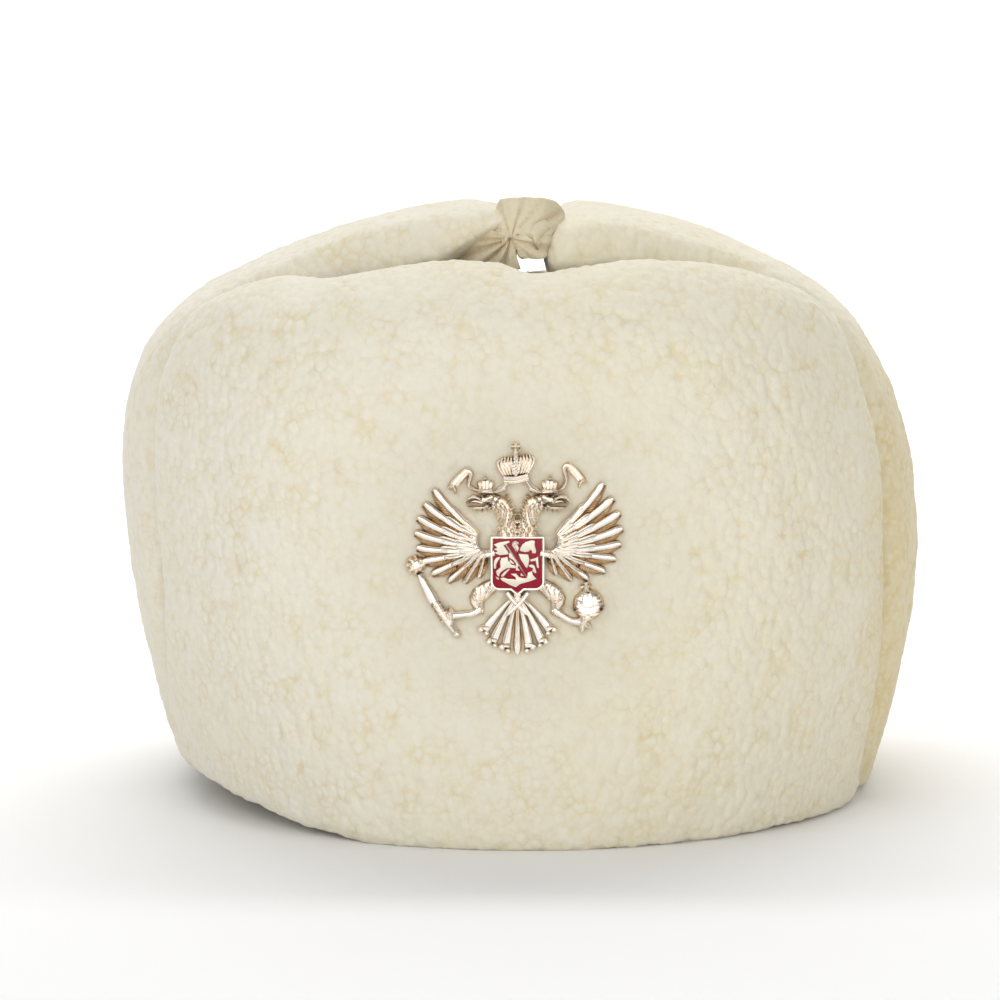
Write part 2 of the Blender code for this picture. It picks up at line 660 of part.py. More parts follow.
def draw_tail(shells):
    middle = [Spot(0.0, -10.8, 1.6), Spot(0.0, -15.0, 0.9), Spot(0.0, -24.0, 0.9), Spot(0.0, -26.8, 0.5)]
    strand(shells, middle, 1.5)
    for side in (-1.0, 1.0):
        for index, feather in enumerate(TAIL):
            root = Vector((feather.root_x, feather.root_y))
            run = Vector((feather.tip_x, feather.tip_y)) - root
            bow = Vector((-run.y, run.x)) * 0.10
            spots = []
            for share, wide in ((0.0, 0.7), (0.35, 0.8), (0.75, 1.1), (1.0, 1.0)):
                place = root + run * share - bow * 4.0 * share * (1.0 - share)
                spots.append(Spot(place.x, place.y, feather.half * wide))
            strand(shells, mirrored(spots, side), 1.3 + 0.1 * index)
            stud(shells, side * feather.tip_x, feather.tip_y, 1.05, 0.95, 1.7, sides=6)


def draw_rider(shells):
    """A rider with a cloak and a lance on a leaping horse, over a low beast. There is no face."""
    lay = RIDER_BOTTOM
    low_beast = [Spot(-4.5, -7.7, 0.5), Spot(-0.8, -8.2, 0.6), Spot(4.3, -7.3, 0.45)]
    strand(shells, low_beast, 0.5, lay, corners=FLAT_TOPPED)
    back = [Spot(-0.9, -6.3, 0.4), Spot(0.8, -7.4, 0.5), Spot(2.6, -6.4, 0.4), Spot(3.7, -7.2, 0.35)]
    strand(shells, back, 0.55, lay, corners=FLAT_TOPPED)
    horse = [Spot(-3.7, -3.3, 1.15), Spot(-1.2, -3.6, 1.1), Spot(2.4, -2.9, 1.2)]
    strand(shells, horse, 0.6, lay, corners=FLAT_TOPPED)
    neck = [Spot(1.5, -2.6, 1.1), Spot(1.5, -0.6, 0.85), Spot(3.4, 1.1, 0.7)]
    strand(shells, neck, 0.65, lay, corners=FLAT_TOPPED)
    strand(shells, [Spot(3.2, 1.2, 0.6), Spot(4.5, 0.9, 0.55), Spot(4.4, -1.0, 0.45)], 0.6, lay)
    for leg in (
        [Spot(2.6, -2.7, 0.45), Spot(4.8, -1.9, 0.35), Spot(5.1, -4.4, 0.3)],
        [Spot(2.4, -3.7, 0.4), Spot(4.1, -4.1, 0.35), Spot(4.5, -5.6, 0.3)],
        [Spot(-3.4, -4.0, 0.8), Spot(-4.4, -5.6, 0.45), Spot(-4.1, -7.8, 0.35)],
        [Spot(-2.2, -4.2, 0.5), Spot(-3.0, -6.0, 0.35), Spot(-2.2, -8.0, 0.35)],
        [Spot(-3.3, -2.5, 0.45), Spot(-5.0, -2.4, 0.45), Spot(-5.2, -4.4, 0.3)],
    ):
        strand(shells, leg, 0.5, lay, corners=FLAT_TOPPED)
    cloak = [Spot(-0.9, 0.5, 0.9), Spot(-2.9, 0.5, 1.3), Spot(-5.3, 0.2, 0.8)]
    strand(shells, cloak, 0.55, lay, corners=FLAT_TOPPED)
    torso = [Spot(-0.4, 1.0, 0.65), Spot(-0.8, -1.4, 0.85), Spot(-1.0, -2.6, 0.7)]
    strand(shells, torso, 0.75, lay)
    strand(shells, [Spot(-1.2, -2.0, 0.6), Spot(0.0, -3.4, 0.45), Spot(0.2, -5.1, 0.35)], 0.8, lay)
    stud(shells, -0.1, 1.35, 0.62, 0.62, 0.8, sides=8, base=lay)
    strand(shells, [Spot(-2.6, 1.2, 0.25), Spot(2.8, -6.8, 0.25)], 0.95, lay)


def shield_outline(inset):
    """The shield's edge, this far inside it: square above, rounded below, with a pointed foot."""
    half, radius = SHIELD_HALF - inset, max(0.4, SHIELD_ROUND - inset)
    top, foot, point = SHIELD_TOP - inset, SHIELD_FOOT + inset, SHIELD_POINT + inset * 1.3
    right = [(half, top)]
    for step in range(5):
        angle = math.radians(-90.0 * step / 4)
        right.append((half - radius + radius * math.cos(angle), foot + radius + radius * math.sin(angle)))
    right.append((1.6, foot))
    left = [(-x, y) for x, y in reversed(right)]
    return right + [(0.0, point)] + left


def shield_body(bm, inset, bottom, top):
    """The shield's shape, this far inside its edge, from one height to another."""
    face = bm.faces.new([bm.verts.new((x, y, bottom)) for x, y in shield_outline(inset)])
    made = bmesh.ops.extrude_face_region(bm, geom=[face])["geom"]
    bmesh.ops.translate(
        bm,
        verts=[item for item in made if isinstance(item, bmesh.types.BMVert)],
        vec=(0.0, 0.0, top - bottom),
    )
    return next(item for item in made if isinstance(item, bmesh.types.BMFace))


def set_on_visor(bm):
    """Turns a flat drawing upright and puts it in its place on the visor."""
    for vert in bm.verts:
        x, y, high = vert.co
        vert.co = Vector((BADGE_X + x, -BADGE_BACK - high, BADGE_HEIGHT + y)) * MM
    bmesh.ops.recalc_face_normals(bm, faces=bm.faces)
    if bm.calc_volume(signed=True) < 0.0:
        bmesh.ops.reverse_faces(bm, faces=bm.faces)


def make_post(radius, length, start):
    """A pin behind the badge's shield, in the badge's drawing frame."""
    bm = bmesh.new()
    made = bmesh.ops.create_cone(
        bm, cap_ends=True, segments=16, radius1=radius, radius2=radius, depth=length + start
    )
    shield_middle = 0.5 * (SHIELD_TOP + SHIELD_FOOT)
    bmesh.ops.translate(bm, verts=made["verts"], vec=(0.0, shield_middle, 0.5 * (start - length)))
    return bm


def add_relief(name, shells, finish):
    """A hidden collection of the drawn shells, each in its place on the visor."""
    relief = bpy.data.collections.new(name)
    bpy.context.scene.collection.children.link(relief)
    for index, shell in enumerate(shells):
        set_on_visor(shell)
        add_object(f"{name}_{index}", shell, finish, collection=relief)
    return relief


def make_badge(visor, gold, pale_gold, enamel):
    shells = []
    for side in (-1.0, 1.0):
        draw_wing(shells, side)
        draw_head(shells, side)
        draw_leg(shells, side)
    draw_great_crown(shells)
    draw_sceptre(shells)
    draw_orb(shells)
    draw_tail(shells)
    relief = add_relief("eagle", shells, gold)

    bm = bmesh.new()
    shield_body(bm, 0.0, -0.02, SHIELD_RISE)
    set_on_visor(bm)
    badge = add_object("badge", bm, gold, smooth_angle=35.0)
    field = bmesh.new()
    shield_body(field, SHIELD_RIM, FIELD_RISE, 4.0)
    set_on_visor(field)
    opening = add_object("badge_field", field, gold)
    bm = make_post(POST_RADIUS, POST_LENGTH, 0.5)
    set_on_visor(bm)
    post = add_object("badge_post", bm, gold)
    add_boolean(badge, relief, "UNION", solver="MANIFOLD")
    add_boolean(badge, opening, "DIFFERENCE", solver="MANIFOLD")
    add_boolean(badge, post, "UNION", solver="MANIFOLD")

    bm = make_post(POST_RADIUS + POST_CLEARANCE, POST_LENGTH + POST_CLEARANCE, 6.0)
    set_on_visor(bm)
    hole = add_object("post_hole", bm, gold)
    add_boolean(visor, hole, "DIFFERENCE")

    bm = bmesh.new()
    shield_body(bm, SHIELD_RIM + ENAMEL_GAP, ENAMEL_BOTTOM, ENAMEL_TOP)
    set_on_visor(bm)
    add_object("badge_enamel", bm, enamel, smooth_angle=35.0)

    shells = []
    draw_rider(shells)
    first = shells.pop()
    set_on_visor(first)
    rider = add_object("badge_rider", first, pale_gold, smooth_angle=35.0)
    add_boolean(rider, add_relief("rider", shells, pale_gold), "UNION")


def main():
    clear_scene()
    wool = material("wool", (0.86, 0.80, 0.64), 0.95)
    leather = material("leather", (0.70, 0.57, 0.38), 0.55)
    gold = material("gold", (0.86, 0.68, 0.40), 0.25, 1.0)
    pale_gold = material("pale_gold", (0.80, 0.71, 0.56), 0.5, 0.7)
    enamel = material("enamel", (0.45, 0.01, 0.05), 0.2)
    make_crown(leather)
    visor = make_pads(wool)
    make_tie(leather)
    make_badge(visor, gold, pale_gold, enamel)


main()
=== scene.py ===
from math import asin, atan2, copysign, cos, exp, hypot, pi, radians, sin, tau

import bmesh
import bpy
import numpy as np
from bmesh.types import BMEdge, BMFace, BMVert
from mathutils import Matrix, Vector, noise
from mathutils.bvhtree import BVHTree


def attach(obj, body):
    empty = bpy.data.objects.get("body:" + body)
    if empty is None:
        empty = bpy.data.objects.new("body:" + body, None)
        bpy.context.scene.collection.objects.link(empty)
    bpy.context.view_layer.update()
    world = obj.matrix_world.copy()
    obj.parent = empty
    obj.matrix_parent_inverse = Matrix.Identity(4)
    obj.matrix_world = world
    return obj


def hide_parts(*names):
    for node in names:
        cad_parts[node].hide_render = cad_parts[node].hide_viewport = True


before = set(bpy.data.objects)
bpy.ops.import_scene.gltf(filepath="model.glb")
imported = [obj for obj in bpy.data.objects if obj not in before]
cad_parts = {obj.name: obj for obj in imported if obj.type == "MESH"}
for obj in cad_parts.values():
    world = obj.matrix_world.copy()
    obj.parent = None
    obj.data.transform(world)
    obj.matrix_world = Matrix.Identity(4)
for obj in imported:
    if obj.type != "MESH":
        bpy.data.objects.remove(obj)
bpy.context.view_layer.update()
mm = 0.001


# A socket in a node tree. Sums on wires add the Math nodes that work them out.
class Wire:
    def __init__(self, tree, socket=None):
        self.tree = tree
        self.socket = socket

    def node(self, kind, settings=None, values=None, output=0):
        made = self.tree.nodes.new(kind)
        for name, value in (settings or {}).items():
            setattr(made, name, value)
        for name, value in (values or {}).items():
            if isinstance(value, Wire):
                self.tree.links.new(value.socket, made.inputs[name])
            else:
                made.inputs[name].default_value = value
        return Wire(self.tree, made.outputs[output])

    def math(self, operation, *values):
        return self.node("ShaderNodeMath", {"operation": operation}, dict(enumerate(values)))

    def vector(self, operation, other):
        return self.node("ShaderNodeVectorMath", {"operation": operation}, {0: self, 1: other})

    def part(self, index):  # x, y or z of this place
        return self.node("ShaderNodeSeparateXYZ", None, {0: self}, index)

    def attribute(self, name):
        return self.node("ShaderNodeAttribute", {"attribute_name": name}, output=2)

    def distance(self, spot):
        return self.node("ShaderNodeVectorMath", {"operation": "DISTANCE"}, {0: self, 1: spot}, output=1)

    def __add__(self, other):
        return self.math("ADD", self, other)

    def __radd__(self, other):
        return self.math("ADD", other, self)

    def __sub__(self, other):
        return self.math("SUBTRACT", self, other)

    def __rsub__(self, other):
        return self.math("SUBTRACT", other, self)

    def __mul__(self, other):
        return self.math("MULTIPLY", self, other)

    def __rmul__(self, other):
        return self.math("MULTIPLY", other, self)

    def rise(self, low, high):  # 0 below low, 1 above high, smooth between
        values = {"Value": self, "From Min": low, "From Max": high}
        return self.node("ShaderNodeMapRange", {"interpolation_type": "SMOOTHSTEP"}, values)

    def blend(self, a, b):  # colour a where this wire is 0, colour b where it is 1
        return self.node("ShaderNodeMix", {"data_type": "RGBA"}, {0: self, 6: a, 7: b}, output=2)

    def noise(self, scale, detail=2.0, roughness=0.5):
        values = {"Vector": self, "Scale": scale, "Detail": detail, "Roughness": roughness}
        return self.node("ShaderNodeTexNoise", None, values)

    def cells(self, scale):  # distance to the nearest of many scattered spots
        return self.node("ShaderNodeTexVoronoi", None, {"Vector": self, "Scale": scale})

    def cracks(self, scale, width):  # 1 on the lines between scattered cells, 0 inside them
        values = {"Vector": self, "Scale": scale}
        away = self.node("ShaderNodeTexVoronoi", {"feature": "DISTANCE_TO_EDGE"}, values)
        return 1.0 - away.rise(0.0, width)

    def stirred(self, scale, reach):  # these coordinates pushed about by a noise
        values = {"Vector": self, "Scale": scale, "Detail": 1.5}
        push = self.node("ShaderNodeTexNoise", None, values, output=1)
        return self.vector("ADD", push.vector("SUBTRACT", (0.5,) * 3).vector("MULTIPLY", (reach,) * 3))

    def bump(self, strength, depth):
        values = {"Strength": strength, "Distance": depth, "Height": self}
        return self.node("ShaderNodeBump", None, values)

    def into(self, shader, socket):
        self.tree.links.new(self.socket, shader.inputs[socket])


def startFinish(name, fixed):
    finish = bpy.data.materials.new(name)
    finish.use_nodes = True
    shader = finish.node_tree.nodes["Principled BSDF"]
    for socket, value in fixed.items():
        shader.inputs[socket].default_value = value
    return finish, shader, Wire(finish.node_tree).node("ShaderNodeTexCoord", output=3)


badgeMiddle = (-1.4, 78.0)  # millimetres, x and z
woolLook = {
    "cream": (0.82, 0.775, 0.625, 1.0),
    "pale": (0.825, 0.80, 0.72, 1.0),
    "tan": (0.70, 0.57, 0.29, 1.0),
    # the colour of the painted shade round the badge
    "pressed": (0.70, 0.655, 0.53, 1.0),
    "nub": 2.5 * mm,  # size of one curl of the fleece
    "nubHeight": 0.45 * mm,
    "lump": 15.0 * mm,
    "lumpHeight": 1.1 * mm,
    # metres along x: a painted pale sheen on the right ear's side, cream in the middle, painted tan shade at
    # the left ear
    "sheenPaleToCream": (-0.11, 0.06),
    "creamToShadedTan": (0.086, 0.102),
    # painted shade round the badge fades out between these distances
    "pressedReach": (0.02, 0.058),  # from the badge's middle
    # how many times a metre each pattern repeats
    "clouds": 45.0,
    "patches": 110.0,
    "strokes": 460.0,
    "fluff": 820.0,
    "strokeSlope": (0.0, 0.6, 0.0),
    "strokeStretch": (1.0, 1.0, 0.45),
    "bump": 0.42 * mm,
}


# The place on the fleece, pushed about so that its curls aren't round.
def curled(place):
    return place.stirred(0.3 / woolLook["nub"], 2.0 * mm).stirred(1.6 / woolLook["nub"], 1.1 * mm)


# The curls: 1 on top of each and about 0 in the creases between. The mesh and the finish both use it.
def fleece(curls):
    distance = curls.cells(1.0 / woolLook["nub"])
    return 1.0 - distance * distance * 1.5


def makeWoolFinish():
    look = woolLook
    fixed = {"Sheen Weight": 0.35, "Sheen Roughness": 0.45, "Sheen Tint": (1.0, 0.98, 0.94, 1.0)}
    finish, shader, place = startFinish("woolFleece", fixed | {"Specular IOR Level": 0.08})
    curls = curled(place)
    nub = fleece(curls)
    clouds = place.noise(look["clouds"], 3.0).rise(0.25, 0.75)
    mapping = {"Vector": place, "Rotation": look["strokeSlope"], "Scale": look["strokeStretch"]}
    lying = place.node("ShaderNodeMapping", None, mapping)
    wisps = lying.noise(look["strokes"], 3.0, 0.65)  # the pile's soft strokes, which lie downwards
    fluff = place.noise(look["fluff"], 2.0, 0.7)
    ragged = curls.stirred(4.5 / look["nub"], 0.9 * mm)
    lines = ragged.cracks(1.0 / look["nub"], 0.34)  # soft creases round the curls, darkened with painted shade
    shown = place.noise(look["patches"], 3.0, 0.6).rise(0.36, 0.66)  # they show more here and less there
    # painted shade in the creases between the curls, stronger where the patches show
    crease = (1.0 - nub).rise(0.30, 1.35) * (0.5 + shown * 0.5)
    parting = place.attribute("parting")
    across = place.part(0)
    # painted shade: the left ear's side turns tan
    side = across.rise(*look["creamToShadedTan"])
    middle = (badgeMiddle[0] * mm, -0.12, badgeMiddle[1] * mm)
    pressed = 1.0 - place.distance(middle).rise(*look["pressedReach"])  # painted shade round the badge, darkest near it
    # tint towards tan: painted shade on the left ear's side, round the badge, in the creases and in the
    # partings; the strokes and fluff on the next line are the pile's own tone
    tint = side * 0.42 + pressed * 0.05 + crease * 0.20 + lines * (0.03 + shown * 0.22) + parting * 0.22
    tint = (tint + (0.5 - wisps) * 0.50 + (0.5 - fluff) * 0.30).rise(-0.22, 1.0)
    # paler in clouds of the fleece's own tone, and a painted pale sheen towards the right ear's side
    creaminess = clouds * 0.4 + across.rise(*look["sheenPaleToCream"]) * 0.6
    colour = tint.blend(creaminess.blend(look["pale"], look["cream"]), look["tan"])
    # blends in the painted shade round the badge
    (pressed * 0.6).blend(colour, look["pressed"]).into(shader, "Base Color")
    (0.88 + nub * 0.08).into(shader, "Roughness")
    (nub * 0.8 + wisps + fluff * 0.6).bump(0.34, look["bump"]).into(shader, "Normal")
    return finish


leatherLook = {
    "cream": (0.73, 0.655, 0.46, 1.0),
    "wornAndUnshaded": (0.79, 0.725, 0.56, 1.0),
    "deep": (0.42, 0.27, 0.13, 1.0),
    "grain": 0.9 * mm,
    "bump": 0.2 * mm,
}


def makeLeatherFinish():
    look = leatherLook
    finish, shader, place = startFinish("creamLeather", {"Sheen Weight": 0.1, "Specular IOR Level": 0.35})
    grain = place.stirred(220.0, 1.5 * mm).cells(1.0 / look["grain"])
    patches = place.noise(30.0, 4.0).rise(0.35, 0.7)
    # painted shade in the crown's seam grooves, the tie's creases and the strap's pleats; the grain's
    # darkening is the leather's own
    foldShade = place.attribute("foldShade")
    deep = (grain * 0.22 + foldShade * 0.75).rise(0.05, 1.0)
    deep.blend(patches.blend(look["cream"], look["wornAndUnshaded"]), look["deep"]).into(shader, "Base Color")
    (0.60 + grain * 0.12).into(shader, "Roughness")
    (place.noise(400.0, 3.0) * 0.5 - grain * 0.5).bump(0.35, look["bump"]).into(shader, "Normal")
    return finish


# Cast gold, bright on top of the relief, with painted amber shade where it lies low.
def makeGoldFinish(name, bright, deep, roughness):
    finish, shader, place = startFinish(name, {"Metallic": 1.0})
    height = place.part(1) * (-1.0 / mm) - badgeLook["back"]  # off the badge's flat back
    # 1 on the raised tops; where the relief lies low the painted amber shade takes over
    wornAndUnshaded = (height + place.noise(420.0, 3.0) * 1.2).rise(1.0, 2.5)
    wornAndUnshaded.blend(deep, bright).into(shader, "Base Color")
    (place.noise(900.0, 2.0) * 0.12 + (roughness - 0.05) + (1.0 - wornAndUnshaded) * 0.08).into(shader, "Roughness")
    place.noise(1300.0, 2.0).bump(0.15, 0.08 * mm).into(shader, "Normal")
    return finish


def makeEnamelFinish(thick, thin):
    finish, shader, place = startFinish("crimsonEnamel", {"Roughness": 0.2, "Specular IOR Level": 0.3})
    cloudy = place.noise(500.0, 2.0)
    cloudy.blend(thin, thick).into(shader, "Base Color")
    cloudy.bump(0.1, 0.05 * mm).into(shader, "Normal")
    return finish


wool = makeWoolFinish()
leather = makeLeatherFinish()
thread, _, _ = startFinish("waxedThread", {"Base Color": (0.80, 0.72, 0.55, 1.0), "Roughness": 0.7})
print("finishes made")


def applyModifiers(piece):
    made = bpy.data.meshes.new_from_object(piece.evaluated_get(bpy.context.evaluated_depsgraph_get()))
    piece.modifiers.clear()
    old, piece.data = piece.data, made
    bpy.data.meshes.remove(old)
    made.name = piece.name


def linkPiece(name, bm):
    mesh = bpy.data.meshes.new(name)
    bm.to_mesh(mesh)
    bm.free()
    piece = bpy.data.objects.new(name, mesh)
    bpy.context.scene.collection.objects.link(piece)
    return piece


def copySolid(name, node):
    bm = bmesh.new()
    bm.from_mesh(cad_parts[node].data)
    bmesh.ops.remove_doubles(bm, verts=bm.verts, dist=0.02 * mm)
    bmesh.ops.join_triangles(bm, faces=bm.faces, angle_face_threshold=0.7, angle_shape_threshold=1.2)
    return linkPiece(name, bm)


def evenGrid(piece, grid):
    rounder = piece.modifiers.new("rounder", "SUBSURF")
    rounder.levels = rounder.render_levels = 2
    grids = piece.modifiers.new("grid", "REMESH")
    grids.mode = "VOXEL"
    grids.voxel_size = grid
    applyModifiers(piece)


def finishPiece(piece, node, finish):
    piece.data.shade_smooth()
    piece.data.materials.append(finish)
    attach(piece, "root")
    if node:
        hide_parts(node)
    print(piece.name, "made of", len(piece.data.loops) - 2 * len(piece.data.polygons), "triangles")


def pick(geom, kind):
    return [part for part in geom if isinstance(part, kind)]


# Pours a finished bmesh into another shape.
def pour(bm, shape):
    stock = bpy.data.meshes.new("stock")
    bm.to_mesh(stock)
    bm.free()
    shape.from_mesh(stock)
    bpy.data.meshes.remove(stock)


def readPoints(piece):
    count = len(piece.data.vertices)
    points, normals = np.empty(count * 3), np.empty(count * 3)
    piece.data.vertices.foreach_get("co", points)
    piece.data.vertices.foreach_get("normal", normals)
    return points.reshape(-1, 3), normals.reshape(-1, 3)


def readValues(piece, name):
    values = np.empty(len(piece.data.vertices), np.float32)
    piece.data.attributes[name].data.foreach_get("value", values)
    return values


def writePoints(piece, points):
    piece.data.vertices.foreach_set("co", points.ravel())
    piece.data.update()


def ease(low, high, values):
    share = np.clip((values - low) / (high - low), 0.0, 1.0)
    return share * share * (3.0 - 2.0 * share)


# Smooths the pad, then pushes each point out by the fleece's curls and lumps with geometry nodes.
def raiseFleece(piece, smoothing):
    softer = piece.modifiers.new("softer", "SMOOTH")
    softer.factor = 0.5
    softer.iterations = smoothing
    group = bpy.data.node_groups.new(piece.name + "Fleece", "GeometryNodeTree")
    group.interface.new_socket("Geometry", in_out="INPUT", socket_type="NodeSocketGeometry")
    group.interface.new_socket("Geometry", in_out="OUTPUT", socket_type="NodeSocketGeometry")
    start = Wire(group)
    mesh = start.node("NodeGroupInput")
    place = start.node("GeometryNodeInputPosition")
    outward = start.node("GeometryNodeInputNormal")
    amount = start.node("GeometryNodeInputNamedAttribute", {"data_type": "FLOAT"}, {"Name": "fleece"})
    lumps = place.noise(1.0 / woolLook["lump"], 3.0) - 0.5
    push = (fleece(curled(place)) * woolLook["nubHeight"] + lumps * woolLook["lumpHeight"] * 2.0) * amount
    spread = start.node("ShaderNodeCombineXYZ", None, {0: push, 1: push, 2: push})
    offset = outward.vector("MULTIPLY", spread)
    moved = start.node("GeometryNodeSetPosition", None, {"Geometry": mesh, "Offset": offset})
    out = group.nodes.new("NodeGroupOutput")
    group.links.new(moved.socket, out.inputs[0])
    modifier = piece.modifiers.new("fleece", "NODES")
    modifier.node_group = group
    # the side that lies against the crown keeps only 15 % of its faces
    values = readValues(piece, "fleece")
    plain = np.flatnonzero(values < 0.02)
    piece.vertex_groups.new(name="hidden").add(plain.tolist(), 1.0, "REPLACE")
    thinner = piece.modifiers.new("thinner", "DECIMATE")
    thinner.vertex_group = "hidden"
    thinner.vertex_group_factor = 1000.0
    thinner.ratio = 1.0 - 0.85 * len(plain) / len(values)
    applyModifiers(piece)


crownMesh = bmesh.new()
crownMesh.from_mesh(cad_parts["crown"].data)
crownTree = BVHTree.FromBMesh(crownMesh)
crownMesh.free()

# A flap's front rim hangs down over the visor by hang, which grows from nothing between two distances
# from the middle, besideTie. Its inner end moves across by reach and up by lift, to meet the tie.
padLook = {
    "visor": {"piece": "visorWool", "grid": 0.86 * mm, "smoothing": 45},
    "neck_flap": {"piece": "neckWool", "grid": 0.86 * mm, "smoothing": 55},
    "ear_flap_right": {
        "piece": "earFlapRightWool", "grid": 0.82 * mm, "smoothing": 70,
        "hang": 8.0, "besideTie": (4, 26), "reach": 2.4, "lift": 2.0,
    },
    "ear_flap_left": {
        "piece": "earFlapLeftWool", "grid": 0.82 * mm, "smoothing": 70,
        "hang": 7.5, "besideTie": None, "reach": -1.6, "lift": -1.4,
    },
}
# Where the flaps' moves begin and where they are whole, in millimetres forwards, up and from the middle.
flapMoves = {"forwards": (50, 84), "up": (112, 136), "inner": (6, 22)}
visorLook = {
    "swell": 2.0,  # round the badge, which presses the fleece down
    "swellMiddle": (-1.4, 76.0),
    "swellBegins": (27, 50),  # from its middle
    "swellEnds": (62, 100),
    "partingDepth": 0.5,
    "rimDip": 2.0,  # below the tie
    "dipMiddle": 2.6,
    "dipWidth": 6.5,
}

# Where the front's fleece parts: middle x and z, length, slope in degrees, all seen from the front.
partings = [
    (53.3, 69.7, 4, 10), (71, 74.6, 3.5, 0), (73.3, 86, 4, -40), (48.5, 79.4, 3, 30),
    (89.3, 45.5, 5, -70), (25.6, 50.6, 3, 20), (44.9, 72, 3, -20), (50, 118.9, 4.5, -10),
    (72.8, 122.7, 5, 15), (53.3, 133.9, 3.5, 40), (60, 122, 3, -30), (-9.6, 118.9, 4, 0),
    (-31.2, 106.4, 3.5, 50), (-45.3, 117.9, 3.5, -35), (-53.2, 136.5, 3.5, 60), (-61.3, 103.1, 5, -28),
    (-70.4, 87.3, 3.5, 5), (-76.8, 60.3, 9, 14), (-86, 118.6, 4, -40), (-80, 78.5, 3, 25),
    (31, 30, 3.5, 10), (-20, 24, 3, -20), (62, 28, 4, 35), (-50, 40, 3, 20),
]


# How far inside each front point lies in a parting, 0 to 1.
def partedness(points):
    deep = np.zeros(len(points))
    for x, z, length, slope in partings:
        away = points[:, [0, 2]] / mm - (x, z)
        turn = radians(slope)
        along = away @ (cos(turn), sin(turn))
        across = away @ (-sin(turn), cos(turn))
        reach = np.maximum(np.abs(along) - 0.35 * length, 0) / (0.3 * length)
        deep = np.maximum(deep, np.exp(-(reach**2) - (across / (0.8 + 0.05 * length)) ** 2))
    return deep * (points[:, 1] < -40 * mm)


def moveVisor(points, normals, amount, parted):
    look = visorLook
    x, _, z = points.T / mm
    away = np.hypot(x - look["swellMiddle"][0], z - look["swellMiddle"][1])
    swell = look["swell"] * ease(*look["swellBegins"], away) * (1 - ease(*look["swellEnds"], away))
    swell = swell * (normals[:, 1] < 0)  # only on its front
    move = normals * ((swell * amount - parted * look["partingDepth"]) * mm)[:, None]
    dip = np.exp(-(((x - look["dipMiddle"]) / look["dipWidth"]) ** 2)) * ease(138, 147, z)
    move[:, 2] -= look["rimDip"] * mm * dip
    return move


def moveFlap(look, points, normals):
    x, y, z = points.T / mm
    front = ease(*flapMoves["forwards"], -y) * ease(*flapMoves["up"], z)
    hang = look["hang"] * (ease(*look["besideTie"], -x) if look["besideTie"] else 1)
    near = front * (1 - ease(*flapMoves["inner"], np.abs(x))) * mm
    move = np.zeros(points.shape)
    move[:, 0] = look["reach"] * near
    move[:, 2] = -hang * mm * front * (1 - ease(-0.3, 0.8, normals[:, 2])) + look["lift"] * near
    return move


# A pad of fleece on leather. Points that face the crown are its bare leather side.
def makePad(node, look):
    piece = copySolid(look["piece"], node)
    evenGrid(piece, look["grid"])
    points, normals = readPoints(piece)
    away = points - np.array([crownTree.find_nearest(point)[0] for point in points])
    away /= np.linalg.norm(away, axis=1)[:, None]
    amount = ease(-0.85, -0.55, (away * normals).sum(axis=1))
    parted = np.zeros(len(points))
    if node == "visor":
        parted = partedness(points) * amount
        points = points + moveVisor(points, normals, amount, parted)
    elif node != "neck_flap":
        points = points + moveFlap(look, points, normals)
    writePoints(piece, points)
    for name, values in (("fleece", amount), ("parting", parted)):
        attribute = piece.data.attributes.new(name, "FLOAT", "POINT")
        attribute.data.foreach_set("value", values.astype(np.float32))
    raiseFleece(piece, look["smoothing"])
    points, _ = readPoints(piece)
    points[:, 2] = np.maximum(points[:, 2], 0)  # it rests on the floor
    writePoints(piece, points)
    finishPiece(piece, node, wool)
    piece.data.materials.append(leather)
    amount = readValues(piece, "fleece")
    for polygon in piece.data.polygons:
        polygon.material_index = int(amount[polygon.vertices[0]] < 0.08)


for node, look in padLook.items():
    makePad(node, look)

crownLook = {
    "middle": (0, 0, 4),  # millimetres; its walls are found by rays from here
    "gores": 6,
    "seamDepth": 0.8,
    "puff": 1.1,
    "crease": 1.2,
    "wrinkle": 0.5,
    "pucker": 0.12,  # between two stitches
    "stitch": (0.42, 1.15, 0.30),  # half sizes across the seam, along it and upwards
    "stitchStep": 3.5,
    "stitchAway": 2.3,  # from the seam's middle
}


